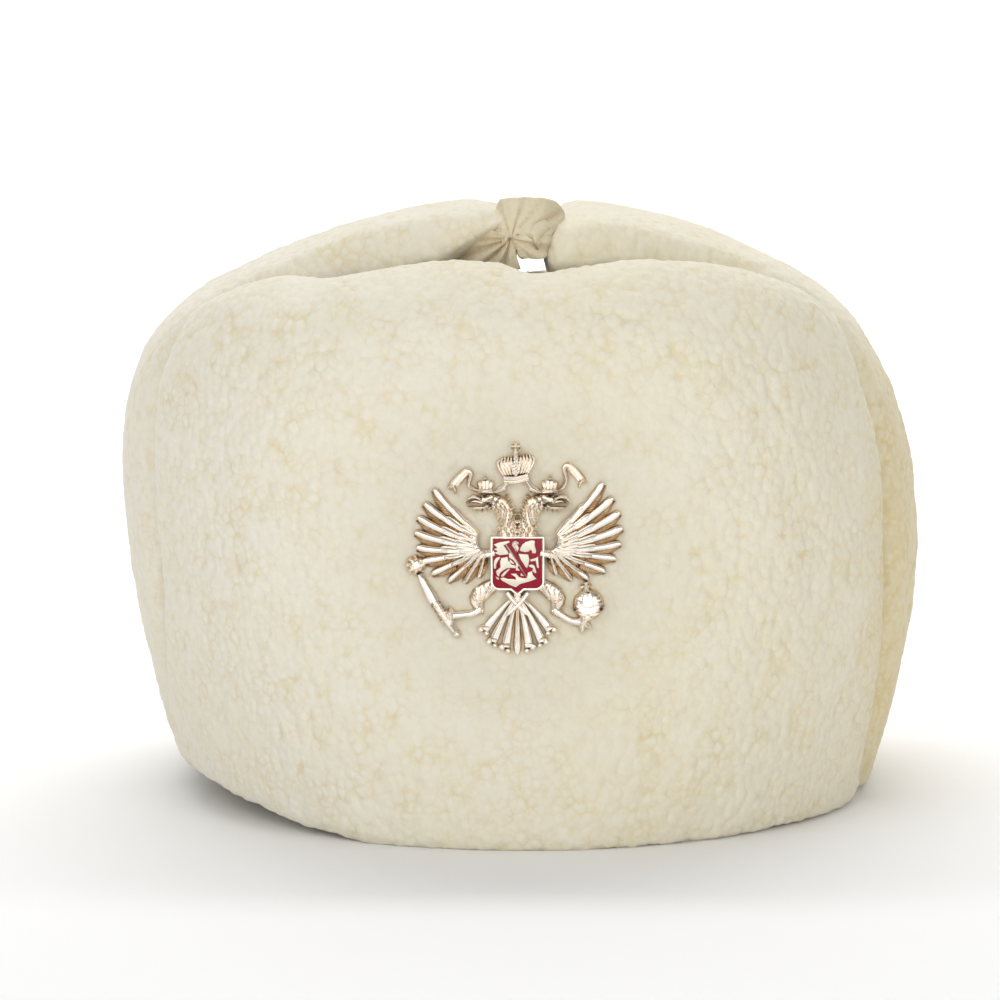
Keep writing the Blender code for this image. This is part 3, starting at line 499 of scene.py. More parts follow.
# The crown's wall, found by rays from its middle on an even grid of rows from rim to top and turns round.
class Wall:
    rows, turns = 46, 120

    def __init__(self):
        self.rim = np.array([self.rimRise(column) for column in range(self.turns)])
        for _ in range(3):
            self.rim = (np.roll(self.rim, 1) + self.rim + np.roll(self.rim, -1)) / 3
        self.outer, self.inner = self.distances(True), self.distances(False)

    def way(self, rise, turn):
        return Vector((cos(turn) * cos(rise), sin(turn) * cos(rise), sin(rise)))

    def hit(self, rise, turn, outside):
        middle, way = Vector(crownLook["middle"]) * mm, self.way(rise, turn)
        spot = crownTree.ray_cast(middle + way * 0.3 if outside else middle, -way if outside else way)[0]
        return (spot - middle).length / mm if spot else 0.0

    def rimRise(self, column):
        turn = column * tau / self.turns
        rises = np.radians(np.arange(0, 40, 0.5))
        return next(r for r in rises if self.hit(r, turn, True) > 60.0 and self.hit(r, turn, False) > 50)

    def distances(self, outside):
        found = np.zeros((self.rows, self.turns))
        for row in range(self.rows):
            for column in range(self.turns):
                rise = self.rim[column] + (pi / 2 - self.rim[column]) * row / (self.rows - 1)
                distance = self.hit(rise, column * tau / self.turns, outside)
                found[row, column] = distance if distance > 50.0 else 0.0
        for row in reversed(range(self.rows - 1)):
            found[row] = np.where(found[row] > 0, found[row], found[row + 1])
        for _ in range(6):  # the CAD's facets are smoothed away
            above, below = np.roll(found, -1, 0), np.roll(found, 1, 0)
            above[-1], below[0] = found[-1].mean(), found[0]
            found = (found * 2 + np.roll(found, 1, 1) + np.roll(found, -1, 1) + above + below) / 6
        return found

    def spot(self, distances, share, turn):  # share 0 at the rim, 1 at the top
        row = min(max(share * (self.rows - 1), 0), self.rows - 1.0001)
        column = (turn / tau * self.turns) % self.turns
        a, b = int(row), int(column) % self.turns
        c, t = (b + 1) % self.turns, column - int(column)
        low = distances[a, b] + (distances[a, c] - distances[a, b]) * t
        high = distances[a + 1, b] + (distances[a + 1, c] - distances[a + 1, b]) * t
        rim = self.rim[b] + (self.rim[c] - self.rim[b]) * t
        rise = rim + (pi / 2 - rim) * share
        return Vector(crownLook["middle"]) + self.way(rise, turn) * (low + (high - low) * (row - a))


# The crown: a leather shell sewn from gores, with a groove at each seam and soft creases between.
def makeCrown():
    look, middle = crownLook, Vector(crownLook["middle"])
    gores, perGore = look["gores"], 20
    wall = Wall()
    bm = bmesh.new()
    folds = bm.verts.layers.float.new("foldShade")
    bmesh.ops.create_uvsphere(bm, u_segments=gores * perGore, v_segments=88, radius=1.0)
    below = [v for v in bm.verts if v.co.z < -0.01]
    bmesh.ops.delete(bm, geom=below, context="VERTS")
    lining = bmesh.ops.duplicate(bm, geom=bm.faces[:])["geom"]
    liningVerts = set(pick(lining, BMVert))
    bmesh.ops.reverse_faces(bm, faces=pick(lining, BMFace))
    for vert in bm.verts:
        share = asin(min(1, max(0, vert.co.z))) / (pi / 2)  # 0 at the rim, 1 at the top
        step = atan2(vert.co.y, vert.co.x) / tau * gores * perGore
        gore, along = divmod(step, perGore)
        near = 2 * abs(along / perGore - 0.5)  # 1 at a seam, 0 halfway between two
        bend = copysign(1 - (1 - near) ** 1.7, along / perGore - 0.5)  # columns crowd at the seams
        turn = (gore + 0.5 + 0.5 * bend) / gores * tau + pi / 2
        spot = wall.spot(wall.inner if vert in liningVerts else wall.outer, share, turn)
        if vert not in liningVerts:
            wide = hypot(spot.x, spot.y)
            away = wide * (1 - abs(bend)) * pi / gores  # from the nearest seam
            groove = exp(-((away / 1.1) ** 2)) * min(1, wide / 6)
            puffed = 1 - exp(-((away / 7) ** 2))
            crease = noise.noise(Vector((spot.x, spot.y, spot.z * 0.5)) * 0.05)
            wrinkle = 1 - 2 * abs(noise.noise(Vector((spot.x, spot.y * 1.6, spot.z)) * 0.09))
            pucker = sin(spot.z * tau / look["stitchStep"]) * exp(-((away / 4) ** 2))
            push = look["puff"] * (puffed - 0.3) - look["seamDepth"] * groove
            push += (look["crease"] * crease - look["wrinkle"] * max(0, wrinkle) ** 6) * puffed
            spot += (spot - middle).normalized() * (push + look["pucker"] * pucker)
            # painted shade in the seam's groove
            vert[folds] = 0.5 * groove
        vert.co = spot * mm
    bmesh.ops.bridge_loops(bm, edges=[e for e in bm.edges if e.is_boundary])
    bmesh.ops.recalc_face_normals(bm, faces=bm.faces)
    piece = linkPiece("crownLeather", bm)
    rounder = piece.modifiers.new("rounder", "SUBSURF")
    rounder.levels = rounder.render_levels = 1
    applyModifiers(piece)
    finishPiece(piece, "crown", leather)
    makeCrownStitches(wall)


def makeCrownStitches(wall):
    across, along, upward = crownLook["stitch"]
    stock, bead = bpy.data.meshes.new("stitchStock"), bmesh.new()
    bmesh.ops.create_uvsphere(bead, u_segments=8, v_segments=5, radius=1.0)
    bead.to_mesh(stock)
    bead.free()
    bm = bmesh.new()
    for gore in range(crownLook["gores"]):
        seam = gore / crownLook["gores"] * tau + pi / 2
        for side in (-1, 1):
            share = 0.25
            while share < 0.94:
                spot = wall.spot(wall.outer, share, seam)
                turn = seam + side * crownLook["stitchAway"] / hypot(spot.x, spot.y)
                spot = wall.spot(wall.outer, share, turn)
                after = wall.spot(wall.outer, share + 0.01, turn)
                tangent = (after - spot).normalized()
                sideways = Vector((-sin(turn), cos(turn), 0))
                outward = sideways.cross(tangent).normalized()
                first = len(bm.verts)
                bm.from_mesh(stock)
                bm.verts.ensure_lookup_table()
                for vert in bm.verts[first:]:
                    a, b, c = vert.co.x * across, vert.co.y * along, vert.co.z * upward
                    vert.co = (spot + sideways * a + tangent * b + outward * (c - 0.12)) * mm
                share += 0.01 * crownLook["stitchStep"] / (after - spot).length
    finishPiece(linkPiece("crownStitches", bm), None, thread)


tieLook = {
    "pinch": (-3, -91, 155.4),
    # the leather gathered into the pinch: angle seen from the front and length of each of its rays
    "upper": [
        (-60, 5.6), (-46, 7.4), (-30, 10.4), (-14, 12), (6, 13), (24, 15.6), (38, 15.2), (60, 12.1),
        (78, 10.7), (96, 10.4), (106, 10.4), (118, 8.4), (135, 6.4), (160, 5.2),
    ],
    "upperFolds": [(-16, 0.8), (27, 1.6), (50, 0.8), (71, 0.9), (108, 0.8)],
    "leg": [
        (-72, 8.4), (-86, 8.6), (-104, 9.4), (-122, 12.2), (-142, 15), (-160, 16), (-180, 15), (-200, 12)
    ],
    "legFolds": [(-106, 0.8), (-134, 1), (-158, 0.9), (-176, 0.8)],
    "leather": 1.2,
    # the strap that runs back between the flaps: y, middle x, half width, z
    "strap": [
        (-91, -0.6, 4.6, 157), (-87, 0.8, 6.8, 160.6), (-78, 1.3, 7.6, 161.8), (-60, 1.3, 7.6, 161.8),
        (-36, 1.3, 7.8, 161.6), (-12, 1.4, 8.2, 161.2), (2, 1.5, 8.6, 159.8), (9, 1.5, 8.8, 157.6),
        (12, 1.5, 8.8, 155),
    ],
    "pleats": 4,
    "pleatDepth": 1.5,
}


# One patch of leather whose folds run together at the pinch.
def addGather(shape, rays, creases, folds, tilt, shade, tuck):
    pinch = tieLook["pinch"]
    turns, lengths = zip(*sorted(rays))
    for vert in bmesh.ops.create_grid(shape, x_segments=90, y_segments=18, size=0.5)["verts"]:
        turn = turns[0] + (turns[-1] - turns[0]) * (vert.co.x + 0.5)
        out = 0.05 + 0.95 * (vert.co.y + 0.5)
        reach = out * np.interp(turn, turns, lengths)
        deep = sum(depth * exp(-(((turn - crease) / 5.5) ** 2)) for crease, depth in creases)
        ripple = 0.35 * sin(radians(turn * 13)) + 0.5 * noise.noise(Vector((turn * 0.08, out * 2, 1)))
        back = tilt * reach + 0.018 * reach * reach + (deep + ripple) * min(1, reach / 5)
        # painted shade in the creases, near the pinch, and over the whole patch by the shade given
        paintedShade = shade + 0.45 * deep * (1.2 - 0.7 * out) + 0.3 * exp(-((reach / 2.5) ** 2))
        # more painted shade on the rays that point down, round the gap under the tie
        vert[folds] = min(1, paintedShade + 0.6 * max(0, -turn / 90 - 0.05) * (turn > -61))
        x, z = cos(radians(turn)) * reach, sin(radians(turn)) * reach
        back += tuck * max(0, abs(x + pinch[0] - 0.4) - 5.6)  # behind the wool of the two flaps
        vert.co = Vector((pinch[0] + x, pinch[1] + back, pinch[2] + z)) * mm


# Thickens a tie's leather. Its flat piece has the same area and is this wide or this long.
def finishTie(bm, name, node, wide=None, long=None):
    bmesh.ops.recalc_face_normals(bm, faces=bm.faces)
    area = sum(face.calc_area() for face in bm.faces)
    bmesh.ops.solidify(bm, geom=bm.faces[:], thickness=tieLook["leather"] * mm)
    bmesh.ops.recalc_face_normals(bm, faces=bm.faces)
    piece = linkPiece(name, bm)
    finishPiece(piece, node, leather)
    flat = (wide or area / long, long or area / wide)
    print(name, "cut from", round(area * 1e6), "square mm")


def makeTieFan():
    bm = bmesh.new()
    folds = bm.verts.layers.float.new("foldShade")
    addGather(bm, tieLook["upper"], tieLook["upperFolds"], folds, 0.10, 0, 1.3)
    # the leg lies under the flaps and gets painted shade all over
    addGather(bm, tieLook["leg"], tieLook["legFolds"], folds, 0.16, 0.22, 0.35)
    finishTie(bm, "tieFanLeather", "tie_fan", wide=0.040)


def makeTieStrap():
    ys, middles, halves, heights = zip(*tieLook["strap"])
    rows = 90
    spots = smoothRoute([(y, z, 0) for y, z in zip(ys, heights)], rows)
    bm = bmesh.new()
    folds = bm.verts.layers.float.new("foldShade")
    for vert in bmesh.ops.create_grid(bm, x_segments=72, y_segments=rows - 1, size=0.5)["verts"]:
        across = vert.co.x * 2
        y, z, _ = spots[round((vert.co.y + 0.5) * (rows - 1))]
        middle, half = np.interp(y, ys, middles), np.interp(y, ys, halves)
        swing = 0.75 * noise.noise(Vector((across * 1.4, y * 0.035, 3))) + 0.12 * sin(y * 0.07)
        pleat = abs(sin(pi * (tieLook["pleats"] * (across + 1) / 2 + swing)))
        strength = 0.55 + 0.9 * noise.noise(Vector((across * 2.5, y * 0.06, 7)))
        z += tieLook["pleatDepth"] * strength * (pleat**0.7 - 1) - 2.4 * abs(across) ** 4
        # painted shade in the pleats' valleys
        vert[folds] = 0.7 * strength * (1 - pleat) ** 2.5
        vert.co = Vector((middle + half * across, y, z)) * mm
    finishTie(bm, "tieStrapLeather", "tie_strap", long=0.110)


# The badge is drawn in millimetres from its middle, x right and y up as seen from the front.
badgeLook = {
    "back": 121.6,  # how far its flat back lies in front of the hat's middle
    "wings": {-1: {"scale": 0.975, "raised": -0.5}, 1: {"scale": 1.02, "raised": 0.5}},
    # one wing's flight feathers: tip, root, half width
    "flight": [
        ((21.3, 15.9), (10.6, 4.3), 1.62), ((23.8, 12.2), (11, 3.3), 1.76),
        ((25.5, 8.6), (11.6, 1.9), 1.76), ((26.2, 4.7), (11.8, 0.7), 1.76),
        ((25.8, 0.8), (11.8, -0.3), 1.66), ((24.6, -3), (11.2, -0.9), 1.58),
        ((22, -6.2), (10.4, -1.2), 1.50), ((17.8, -8.2), (9.6, -1.3), 1.29),
        ((13.5, -8.4), (8.8, -1.4), 1.23), ((9.7, -7), (8, -1.6), 1.06),
    ],
    "barbGap": 0.50,
    "tail": [((8.4, -20.8), (1, -12.2)), ((6.3, -23.9), (0.7, -12.8)), ((3, -25.3), (0.3, -13.2))],
    "feet": {-1: (16.6, -17), 1: (16.2, -18.6)},  # by side, as if on the right
    "shield": {
        "half": 6.8, "top": 3.2, "foot": -10.4, "point": -11.8, "round": 2.2, "rise": 2.4, "rim": 0.6,
        "sunk": 1.4,
    },
}
# Outlines of the flat shapes on the shield: cloak, rider, horse and the beast below them.
figureShapes = [
    [
        (-6, 1.2), (-4.5, 1.8), (-2.1, 2.2), (-1.9, 1.8), (-3.5, 1), (-2.3, -0.7), (-2.3, -1.3), (-4.5, -1.5),
        (-5.9, -0.9), (-4.9, -0.5), (-6, 0), (-5.1, 0.4),
    ],
    [
        (-1.4, 1.1), (-1.2, 1.8), (-0.5, 2.2), (0.2, 1.8), (0.4, 1.2), (0, 1.4), (0.1, 0.8), (0.4, 0.4),
        (0.1, -0.4), (0.1, -1.1), (2.7, -1.3), (3, -2.6), (2.8, -3.7), (2.5, -4.7), (2.1, -4.6), (0.7, -2.4),
    ],
    [
        (0.6, 0.1), (1.2, 1.2), (2.1, 1.9), (3.5, 2.3), (4.4, 2.2), (4.3, 1.1), (4.7, -0.4), (4.6, -1),
        (3.7, -1), (3.6, -0.4), (3.2, -0.1), (2.8, -0.6), (1.9, -0.7), (0.6, -0.4),
    ],
    [
        (-2.1, -0.8), (-1.2, -1.3), (0.4, -3.9), (0.8, -4.4), (0.1, -4.2), (0.1, -4.8), (0.7, -5.4),
        (-0.4, -5.4), (-0.5, -4.4), (-0.4, -3.6), (-1.2, -2.6), (-2.2, -2.1),
    ],
    [
        (-4.1, -2.2), (-2.5, -1.9), (-2.3, -2.9), (-1.5, -3.9), (-0.5, -4.1), (-0.5, -4.8), (-1.9, -4.7),
        (-2.6, -4.8), (-3.8, -5.5), (-4.5, -6.2), (-4.6, -7), (-5.2, -6.5), (-5.4, -5.5), (-4.3, -4.6),
        (-4.4, -3.2),
    ],
    [(-2, -2.4), (-0.8, -3.5), (-0.9, -3.8), (-2, -3.4)],
    [
        (-4.7, -1.9), (-4.3, -2.1), (-4.7, -2.6), (-5.3, -3.7), (-5.4, -4.9), (-5.9, -4.9), (-6, -4),
        (-5.9, -2.9), (-5.4, -2.2),
    ],
    [(-2.3, -5), (-1.8, -4.9), (-2.6, -5.8), (-3.4, -6.8), (-4, -7), (-4.1, -6.6), (-3.4, -5.8)],
    [
        (3.2, -2.6), (4.6, -2.2), (5.2, -1.8), (5.3, -3.7), (5.4, -4.8), (4.9, -4.6), (4.7, -3.6),
        (4.6, -2.9), (3.3, -3.1),
    ],
    [(2.8, -4), (3.7, -3.8), (4.3, -4.2), (4.8, -5.9), (4.5, -6.1), (3.7, -5.5), (3.9, -4.8), (2.9, -4.4)],
    [
        (-4.4, -7.4), (-3.6, -7.1), (-2.3, -7.5), (-1.2, -7.5), (-0.4, -7.7), (-0.5, -7.1), (-1.8, -6.2),
        (-0.4, -6.1), (0.4, -7), (1.4, -7.3), (2.4, -7.3), (2.6, -5.9), (3.6, -5.5), (3.9, -6.5), (4.8, -7.5),
        (2.9, -8.2), (0.7, -8.8), (-0.4, -9.6), (-1.8, -9.1), (-3.8, -8),
    ],
    [(0.8, -5.9), (1.7, -6.8), (0.8, -6.7)],
    [(-5.6, -6.7), (-5.2, -7), (-4.6, -7.3), (-4.8, -7.8), (-5.2, -7.5)],
]
barStock = {}  # meshes by corners and rings


# A closed tube of unit size with this many rings, from which every bar is shaped.
def stockFor(corners, rings):
    if (corners, rings) not in barStock:
        bm = bmesh.new()
        bmesh.ops.create_cone(bm, cap_ends=True, segments=corners, radius1=1.0, radius2=1.0, depth=1.0)
        sides = [edge for edge in bm.edges if abs(edge.verts[0].co.z - edge.verts[1].co.z) > 0.5]
        bmesh.ops.subdivide_edges(bm, edges=sides, cuts=rings - 2, use_grid_fill=True)
        barStock[corners, rings] = bpy.data.meshes.new("barStock")
        bm.to_mesh(barStock[corners, rings])
        bm.free()
    return barStock[corners, rings]


# Evenly spaced spots (x, y, half width) on a smooth line through the route's own.
def smoothRoute(route, count):
    spots = np.array([route[0], *route, route[-1]], float)
    found = []
    for place in np.linspace(0, len(route) - 1.0001, count):
        a, b, c, d = spots[int(place) : int(place) + 4]
        t = place - int(place)
        bend, twist = 2 * a - 5 * b + 4 * c - d, 3 * b - a - 3 * c + d
        found.append(0.5 * (2 * b + (c - a) * t + bend * t * t + twist * t**3))
    return np.array(found)


# Across and up over a length at an angle, in degrees.
def polar(angle, length):
    return cos(radians(angle)) * length, sin(radians(angle)) * length


# A cast relief that is being drawn on its flat back. While its side is -1, what is drawn is mirrored.
class Relief:
    def __init__(self):
        self.shape = bmesh.new()
        self.side = 1

    # A raised bar with a rounded top along a route of x, y and half width.
    def bar(self, route, rise, base=0, endRise=None, rings=9, corners=10, fullness=0.7):
        spots = smoothRoute(route, rings)
        spots[:, 0] *= self.side
        runs = np.gradient(spots[:, :2], axis=0)
        runs /= np.linalg.norm(runs, axis=1)[:, None]
        first = len(self.shape.verts)
        self.shape.from_mesh(stockFor(corners, rings))
        self.shape.verts.ensure_lookup_table()
        for vert in self.shape.verts[first:]:
            ring = round((vert.co.z + 0.5) * (rings - 1))
            x, y, half = spots[ring]
            across = vert.co.x * max(half, 0.02)
            height = rise + ((rise if endRise is None else endRise) - rise) * ring / (rings - 1)
            high = base + height * max(0, vert.co.y) ** fullness
            vert.co = (x - runs[ring][1] * across, y + runs[ring][0] * across, high)

    def ball(self, x, y, radius, rise, base=0, rough=2):
        for vert in bmesh.ops.create_icosphere(self.shape, subdivisions=rough, radius=1.0)["verts"]:
            high = base + rise * max(0, vert.co.z)
            vert.co = (self.side * x + radius * vert.co.x, y + radius * vert.co.y, high)

    def beads(self, spots, radius, rise):
        for x, y in spots:
            self.ball(x, y, radius, rise, rough=1)

    # A leaf-shaped feather tip that points along an angle.
    def leaf(self, x, y, angle, length, half, rise):
        dx, dy = polar(angle, length)
        widths = ((0, half * 0.3), (0.35, half), (0.75, half * 0.75), (1, 0.03))
        route = [(x + share * dx, y + share * dy, wide) for share, wide in widths]
        self.bar(route, rise, endRise=rise * 0.75, rings=6, corners=8)

    # A flat-topped plate with a softened upper edge.
    def plate(self, outline, bottom, top, soft):
        bm = bmesh.new()
        face = bm.faces.new([bm.verts.new((x, y, bottom)) for x, y in outline])
        made = bmesh.ops.extrude_face_region(bm, geom=[face])["geom"]
        bmesh.ops.translate(bm, verts=pick(made, BMVert), vec=(0, 0, top - bottom))
        softenEdges(bm, pick(made, BMEdge), soft)
        pour(bm, self.shape)


def drawFeather(badge, root, tip, half, rise, bow, start, blunt=0.64):
    root, tip = np.array(root), np.array(tip)
    length = np.linalg.norm(tip - root)
    low = np.array([(tip - root)[1], -(tip - root)[0]]) / length  # towards the comb's side

    def spot(share, off, wide):
        x, y = root + (tip - root) * share + low * (bow * length * 4 * share * (1 - share) + off * half)
        return (x, y, wide * half)

    web = [spot(0.1, 0.30, 0.4), spot(0.5, 0.42, 0.62), spot(0.85, 0.36, 0.5), spot(0.97, 0.1, 0.2)]
    badge.bar(web, rise * 0.42, corners=6, rings=6)
    blade = [spot(0, -0.2, 0.35), spot(0.3, -0.28, 0.50), spot(0.75, -0.26, 0.64), spot(0.93, -0.15, blunt)]
    badge.bar([*blade, spot(1, -0.02, 0.32)], rise, endRise=rise * 0.72, rings=10)
    count = max(3, int(length * (1 - start) / badgeLook["barbGap"]))
    for step in range(count):
        share = start + (0.95 - start) * step / (count - 1)
        taper = 1 - max(0, share - 0.72) * 2
        barb = [spot(share, 0.02, 0.11), spot(share + 0.035, 0.55 * taper, 0.13)]
        barb.append(spot(min(share + 0.075, 1), 1.08 * taper, 0.05))
        badge.bar(barb, rise * 0.80, endRise=rise * 0.45, rings=4, corners=6)


def drawWing(badge):
    wing = badgeLook["wings"][badge.side]
    for index, (tip, root, half) in enumerate(badgeLook["flight"]):
        root = np.array(root)
        tip = root + (np.array(tip) - root) * wing["scale"] + (0, wing["raised"])
        drawFeather(badge, root, tip, half, 2, 0.07 if index < 5 else 0.03, 0.42)
        covert = root + (tip - root) * (0.56 if index < 7 else 0.48)
        drawFeather(badge, root, covert, half * 0.86, 2.55, 0.05, 0.45, blunt=0.6)
        lesser = root + (tip - root) * 0.27
        drawFeather(badge, root - (tip - root) * 0.05, lesser, half * 0.80, 2.9, 0.02, 0.5, blunt=0.65)
    arm = [(5.8, -1, 1.2), (8.4, -1.3, 1.2), (10.6, 0.2, 1.4), (11, 3, 1.2), (10.4, 4.8, 0.7)]
    badge.bar(arm, 2.2, rings=12)
    for x, y, _ in smoothRoute([(6.4, -0.6, 0), (8.6, -0.8, 0), (10.2, 0.8, 0), (10.5, 3.6, 0)], 8):
        badge.leaf(x, y, -15, 1.9, 0.5, 2.9)
        badge.leaf(x - 0.1, y - 0.7, -40, 1.6, 0.45, 2.7)


def drawHead(badge):
    neck = [(2.6, 1.8, 3.1), (2.3, 5.6, 2.4), (3, 8.6, 2.2), (4.3, 11, 2.3), (6.2, 12.6, 1.7)]
    badge.bar(neck, 1.35, rings=12)
    rows = smoothRoute([(2.5, 4.4, 2.3), (2.3, 6.6, 1.9), (3, 8.8, 1.8), (4, 10.8, 1.9), (5.4, 12.3, 1.3)], 8)
    for index, (x, y, half) in enumerate(rows):
        for column in (-1, -0.33, 0.33, 1) if index % 2 else (-0.7, 0, 0.7):
            angle = -100 + 26 * column + (22 if index > 5 else 0)
            badge.leaf(x + column * half, y + 0.45 * column, angle, 1.65, 0.64, 3 - 0.4 * abs(column))
    throat = ((5.6, 10.8, -75), (6.8, 10.8, -60))
    nape = ((3.2, 13, 150), (2.5, 11.7, 160), (1.9, 10.2, 175), (1.3, 8.7, 185))
    for x, y, angle in throat + nape:
        badge.leaf(x, y, angle, 1.5, 0.5, 2.3)
    skull = [(4.6, 12.4, 1.1), (6.6, 12.8, 1.35), (8.4, 12.5, 1), (9, 12.3, 0.6)]
    badge.bar(skull, 1.5)
    cheek = ((8.6, 13), (8.3, 12), (7.4, 13.5), (7.3, 12.5), (6.9, 11.6), (6.3, 13.1), (6, 12), (5.2, 12.7))
    for x, y in cheek:
        badge.leaf(x, y, 172, 1.5, 0.42, 2.9)
    brow = [(2.9, 15.1, 0.45), (4.9, 14.5, 0.45), (7.3, 14.4, 0.38), (9.2, 14.5, 0.32), (10.2, 14.1, 0.12)]
    badge.bar(brow, 3)
    beak = [(8.7, 11.8, 0.3), (9.6, 12.8, 0.46), (11, 13.3, 0.54), (12.3, 12.9, 0.47), (12.95, 11.9, 0.3)]
    badge.bar([*beak, (12.8, 11, 0.06)], 2.6, rings=12)
    jaw = [(7.4, 11, 0.4), (9, 10.4, 0.5), (11, 10.4, 0.42), (12.5, 10.8, 0.08)]
    badge.bar(jaw, 2.3)
    tongue = [(8.8, 11.5, 0.35), (10.2, 12, 0.5), (11.5, 12, 0.38), (12.2, 11.6, 0.08)]
    badge.bar(tongue, 2.3, rings=8, corners=8)
    badge.ball(9, 13.5, 0.42, 3.3)
    for x in (8.6, 10):
        badge.leaf(x, 9.9, -70, 0.9, 0.3, 1.9)


def drawSmallCrown(badge):
    badge.bar([(6.3, 15.1, 0.42), (8.1, 14.9, 0.42), (9.8, 15.2, 0.42)], 2.8)
    badge.bar([(8, 15, 1.5), (8, 16.2, 1.9), (8.1, 17.2, 1.7)], 1.9, fullness=0.4)
    for rib in (-2, -1, 0, 1, 2):
        route = [(8.05 + rib * 0.72, 15.3, 0.30), (8.05 + rib * 0.92, 16.5, 0.38)]
        route.append((8.1 + rib * 0.86, 17.3 - 0.06 * rib * rib, 0.34))
        badge.bar(route, 2.8 - 0.12 * abs(rib), rings=7, corners=8)
    badge.ball(8.15, 17.8, 0.42, 2.6)
    badge.ball(8.15, 18.5, 0.26, 2.2)


def drawRibbon(badge):
    lift = 0.7 * badge.side  # the left ribbon lies lower than the right one

    def lifted(route):
        return [(x, y + lift, half) for x, y, half in route]

    badge.bar([(2.4, 17.2, 0.75), (3.5, 15.7, 0.7), (5.2, 14.8, 0.6)], 1.9)
    rising = lifted([(12.3, 16.8, 0.6), (11.9, 18.6, 0.65), (11.6, 19.9, 0.7)])
    badge.bar([(9.2, 14.6, 0.45), (11.2, 15.2, 0.5), *rising], 1.6, rings=12)
    fall = [(11.4, 19.6, 0.4), (12.6, 20.4, 0.95), (14.2, 19, 1.15), (15.9, 17, 1.25), (16.5, 16.3, 1.15)]
    badge.bar(lifted(fall), 1.3, rings=12, fullness=0.35)
    for off in (-0.5625, 0.5625):
        edge = lifted([(x + off, y + off, 0.2) for x, y, half in fall[1:]])
        badge.bar(edge, 1.9, rings=8, corners=6)
    for x, y in ((17.6, 15.9), (15.5, 14.7)):  # its forked end
        fork = lifted([(16, 16.8, 0.6), ((16 + x) / 2, (16.8 + y) / 2, 0.65), (x, y, 0.35)])
        badge.bar(fork, 1.6, rings=6, corners=8)


def drawGreatCrown(badge):
    def spot(x, y, half=0):  # it leans a little
        return (x - 0.4, y + 0.12 * x, half)

    badge.bar([spot(-3.1, 18, 0.9), spot(0, 17.6, 0.95), spot(3.1, 18, 0.9)], 2.3, rings=8)
    band = [spot(-2.8 + 0.8 * step, 17.95 - 0.3 * sin(pi * step / 7))[:2] for step in range(8)]
    badge.beads(band, 0.34, 2.8)
    for y in (18.75, 17.05):
        edge = [spot(-3.3, y + 0.1, 0.2), spot(0, y - 0.3, 0.2), spot(3.3, y + 0.1, 0.2)]
        badge.bar(edge, 2.8, rings=8, corners=8)
    for side in (-1, 1):  # two lobes that spread upwards, pleated
        x, y, _ = spot(side * 2.2, 21.2)
        badge.ball(x, y, 2.3, 1.9)
        for rib in range(1, 6):
            top = 23.5 - 0.10 * (rib - 2.5) ** 2
            low = ((0.62 * rib, 18.9, 0.34), (0.86 * rib, 20.8, 0.44))
            high = ((0.35 + 0.84 * rib, 22.3, 0.44), (0.45 + 0.72 * rib, top, 0.3))
            route = [spot(side * x, y, half) for x, y, half in low + high]
            badge.bar(route, 3 - 0.14 * rib, corners=8, fullness=0.55)
            badge.beads([route[-1][:2]], 0.42, 2.8 - 0.14 * rib)
    ridge = [spot(0, 18.6, 0.7), spot(0, 21, 0.8), spot(0, 23, 0.75), spot(0, 24.3, 0.5)]
    badge.bar(ridge, 3, fullness=0.45)
    for step in range(6):  # the braid up its middle
        y = 19 + 0.85 * step
        stitch = [spot(-0.55, y, 0.2), spot(0, y + 0.4, 0.26), spot(0.55, y, 0.2)]
        badge.bar(stitch, 3.45, rings=4, corners=6)
    badge.ball(-0.4, 24.4, 0.8, 2.7)
    badge.bar([(-0.45, 24.4, 0.5), (-0.45, 25.8, 0.45), (-0.45, 26.9, 0.6)], 2.4, corners=8)
    badge.bar([(-1.6, 25.8, 0.6), (-0.45, 25.8, 0.45), (0.7, 25.8, 0.6)], 2.3, corners=8)


def drawLeg(badge):
    thigh = [(5.4, -8.8, 1.6), (8.2, -10.6, 2.2), (10.2, -12.8, 2.2), (9.4, -15.4, 1.2)]
    badge.bar(thigh, 1.6, rings=10)
    rows = smoothRoute([(6.4, -8.8, 1.2), (9, -10.4, 1.7), (10.2, -12.4, 1.7), (9.4, -14.6, 1)], 8)
    for index, (x, y, half) in enumerate(rows):
        for column in (-0.9, 0, 0.9) if index % 2 else (-0.5, 0.5):
            angle = -70 - 25 * column - 6 * index
            place = (x + column * half * 0.8, y + column * half * 0.5)
            badge.leaf(*place, angle, 1.9, 0.46, 2.5 - 0.3 * abs(column))
    footX, footY = badgeLook["feet"][badge.side]
    shin = [(9, -15.2, 1.2), (11.2, -16.4 + 0.35 * (footY + 17), 1.05), (13.6, footY + 0.3, 1)]
    shin.append((footX, footY, 1.2))
    badge.bar(shin, 1.9)
    for x, y, _ in smoothRoute(shin, 12)[2:10]:
        ring = [(x - 0.12, y + 0.9, 0.14), (x, y, 0.2), (x + 0.12, y - 0.9, 0.14)]
        badge.bar(ring, 2.2, rings=4, corners=6)
    for angle, length in ((-95, 2.9), (-40, 3.2), (15, 2.9), (70, 2.5)):
        dx, dy = polar(angle, length)
        knuckle = (footX + dx * 0.6 - dy * 0.12, footY + dy * 0.6 + dx * 0.12, 0.8)
        toe = [(footX, footY, 0.75), knuckle, (footX + dx, footY + dy, 0.2)]
        badge.bar(toe, 2.4, endRise=1.4, rings=7, corners=8)
        badge.beads([(footX + dx * 0.42, footY + dy * 0.42)], 0.75, 2.7)


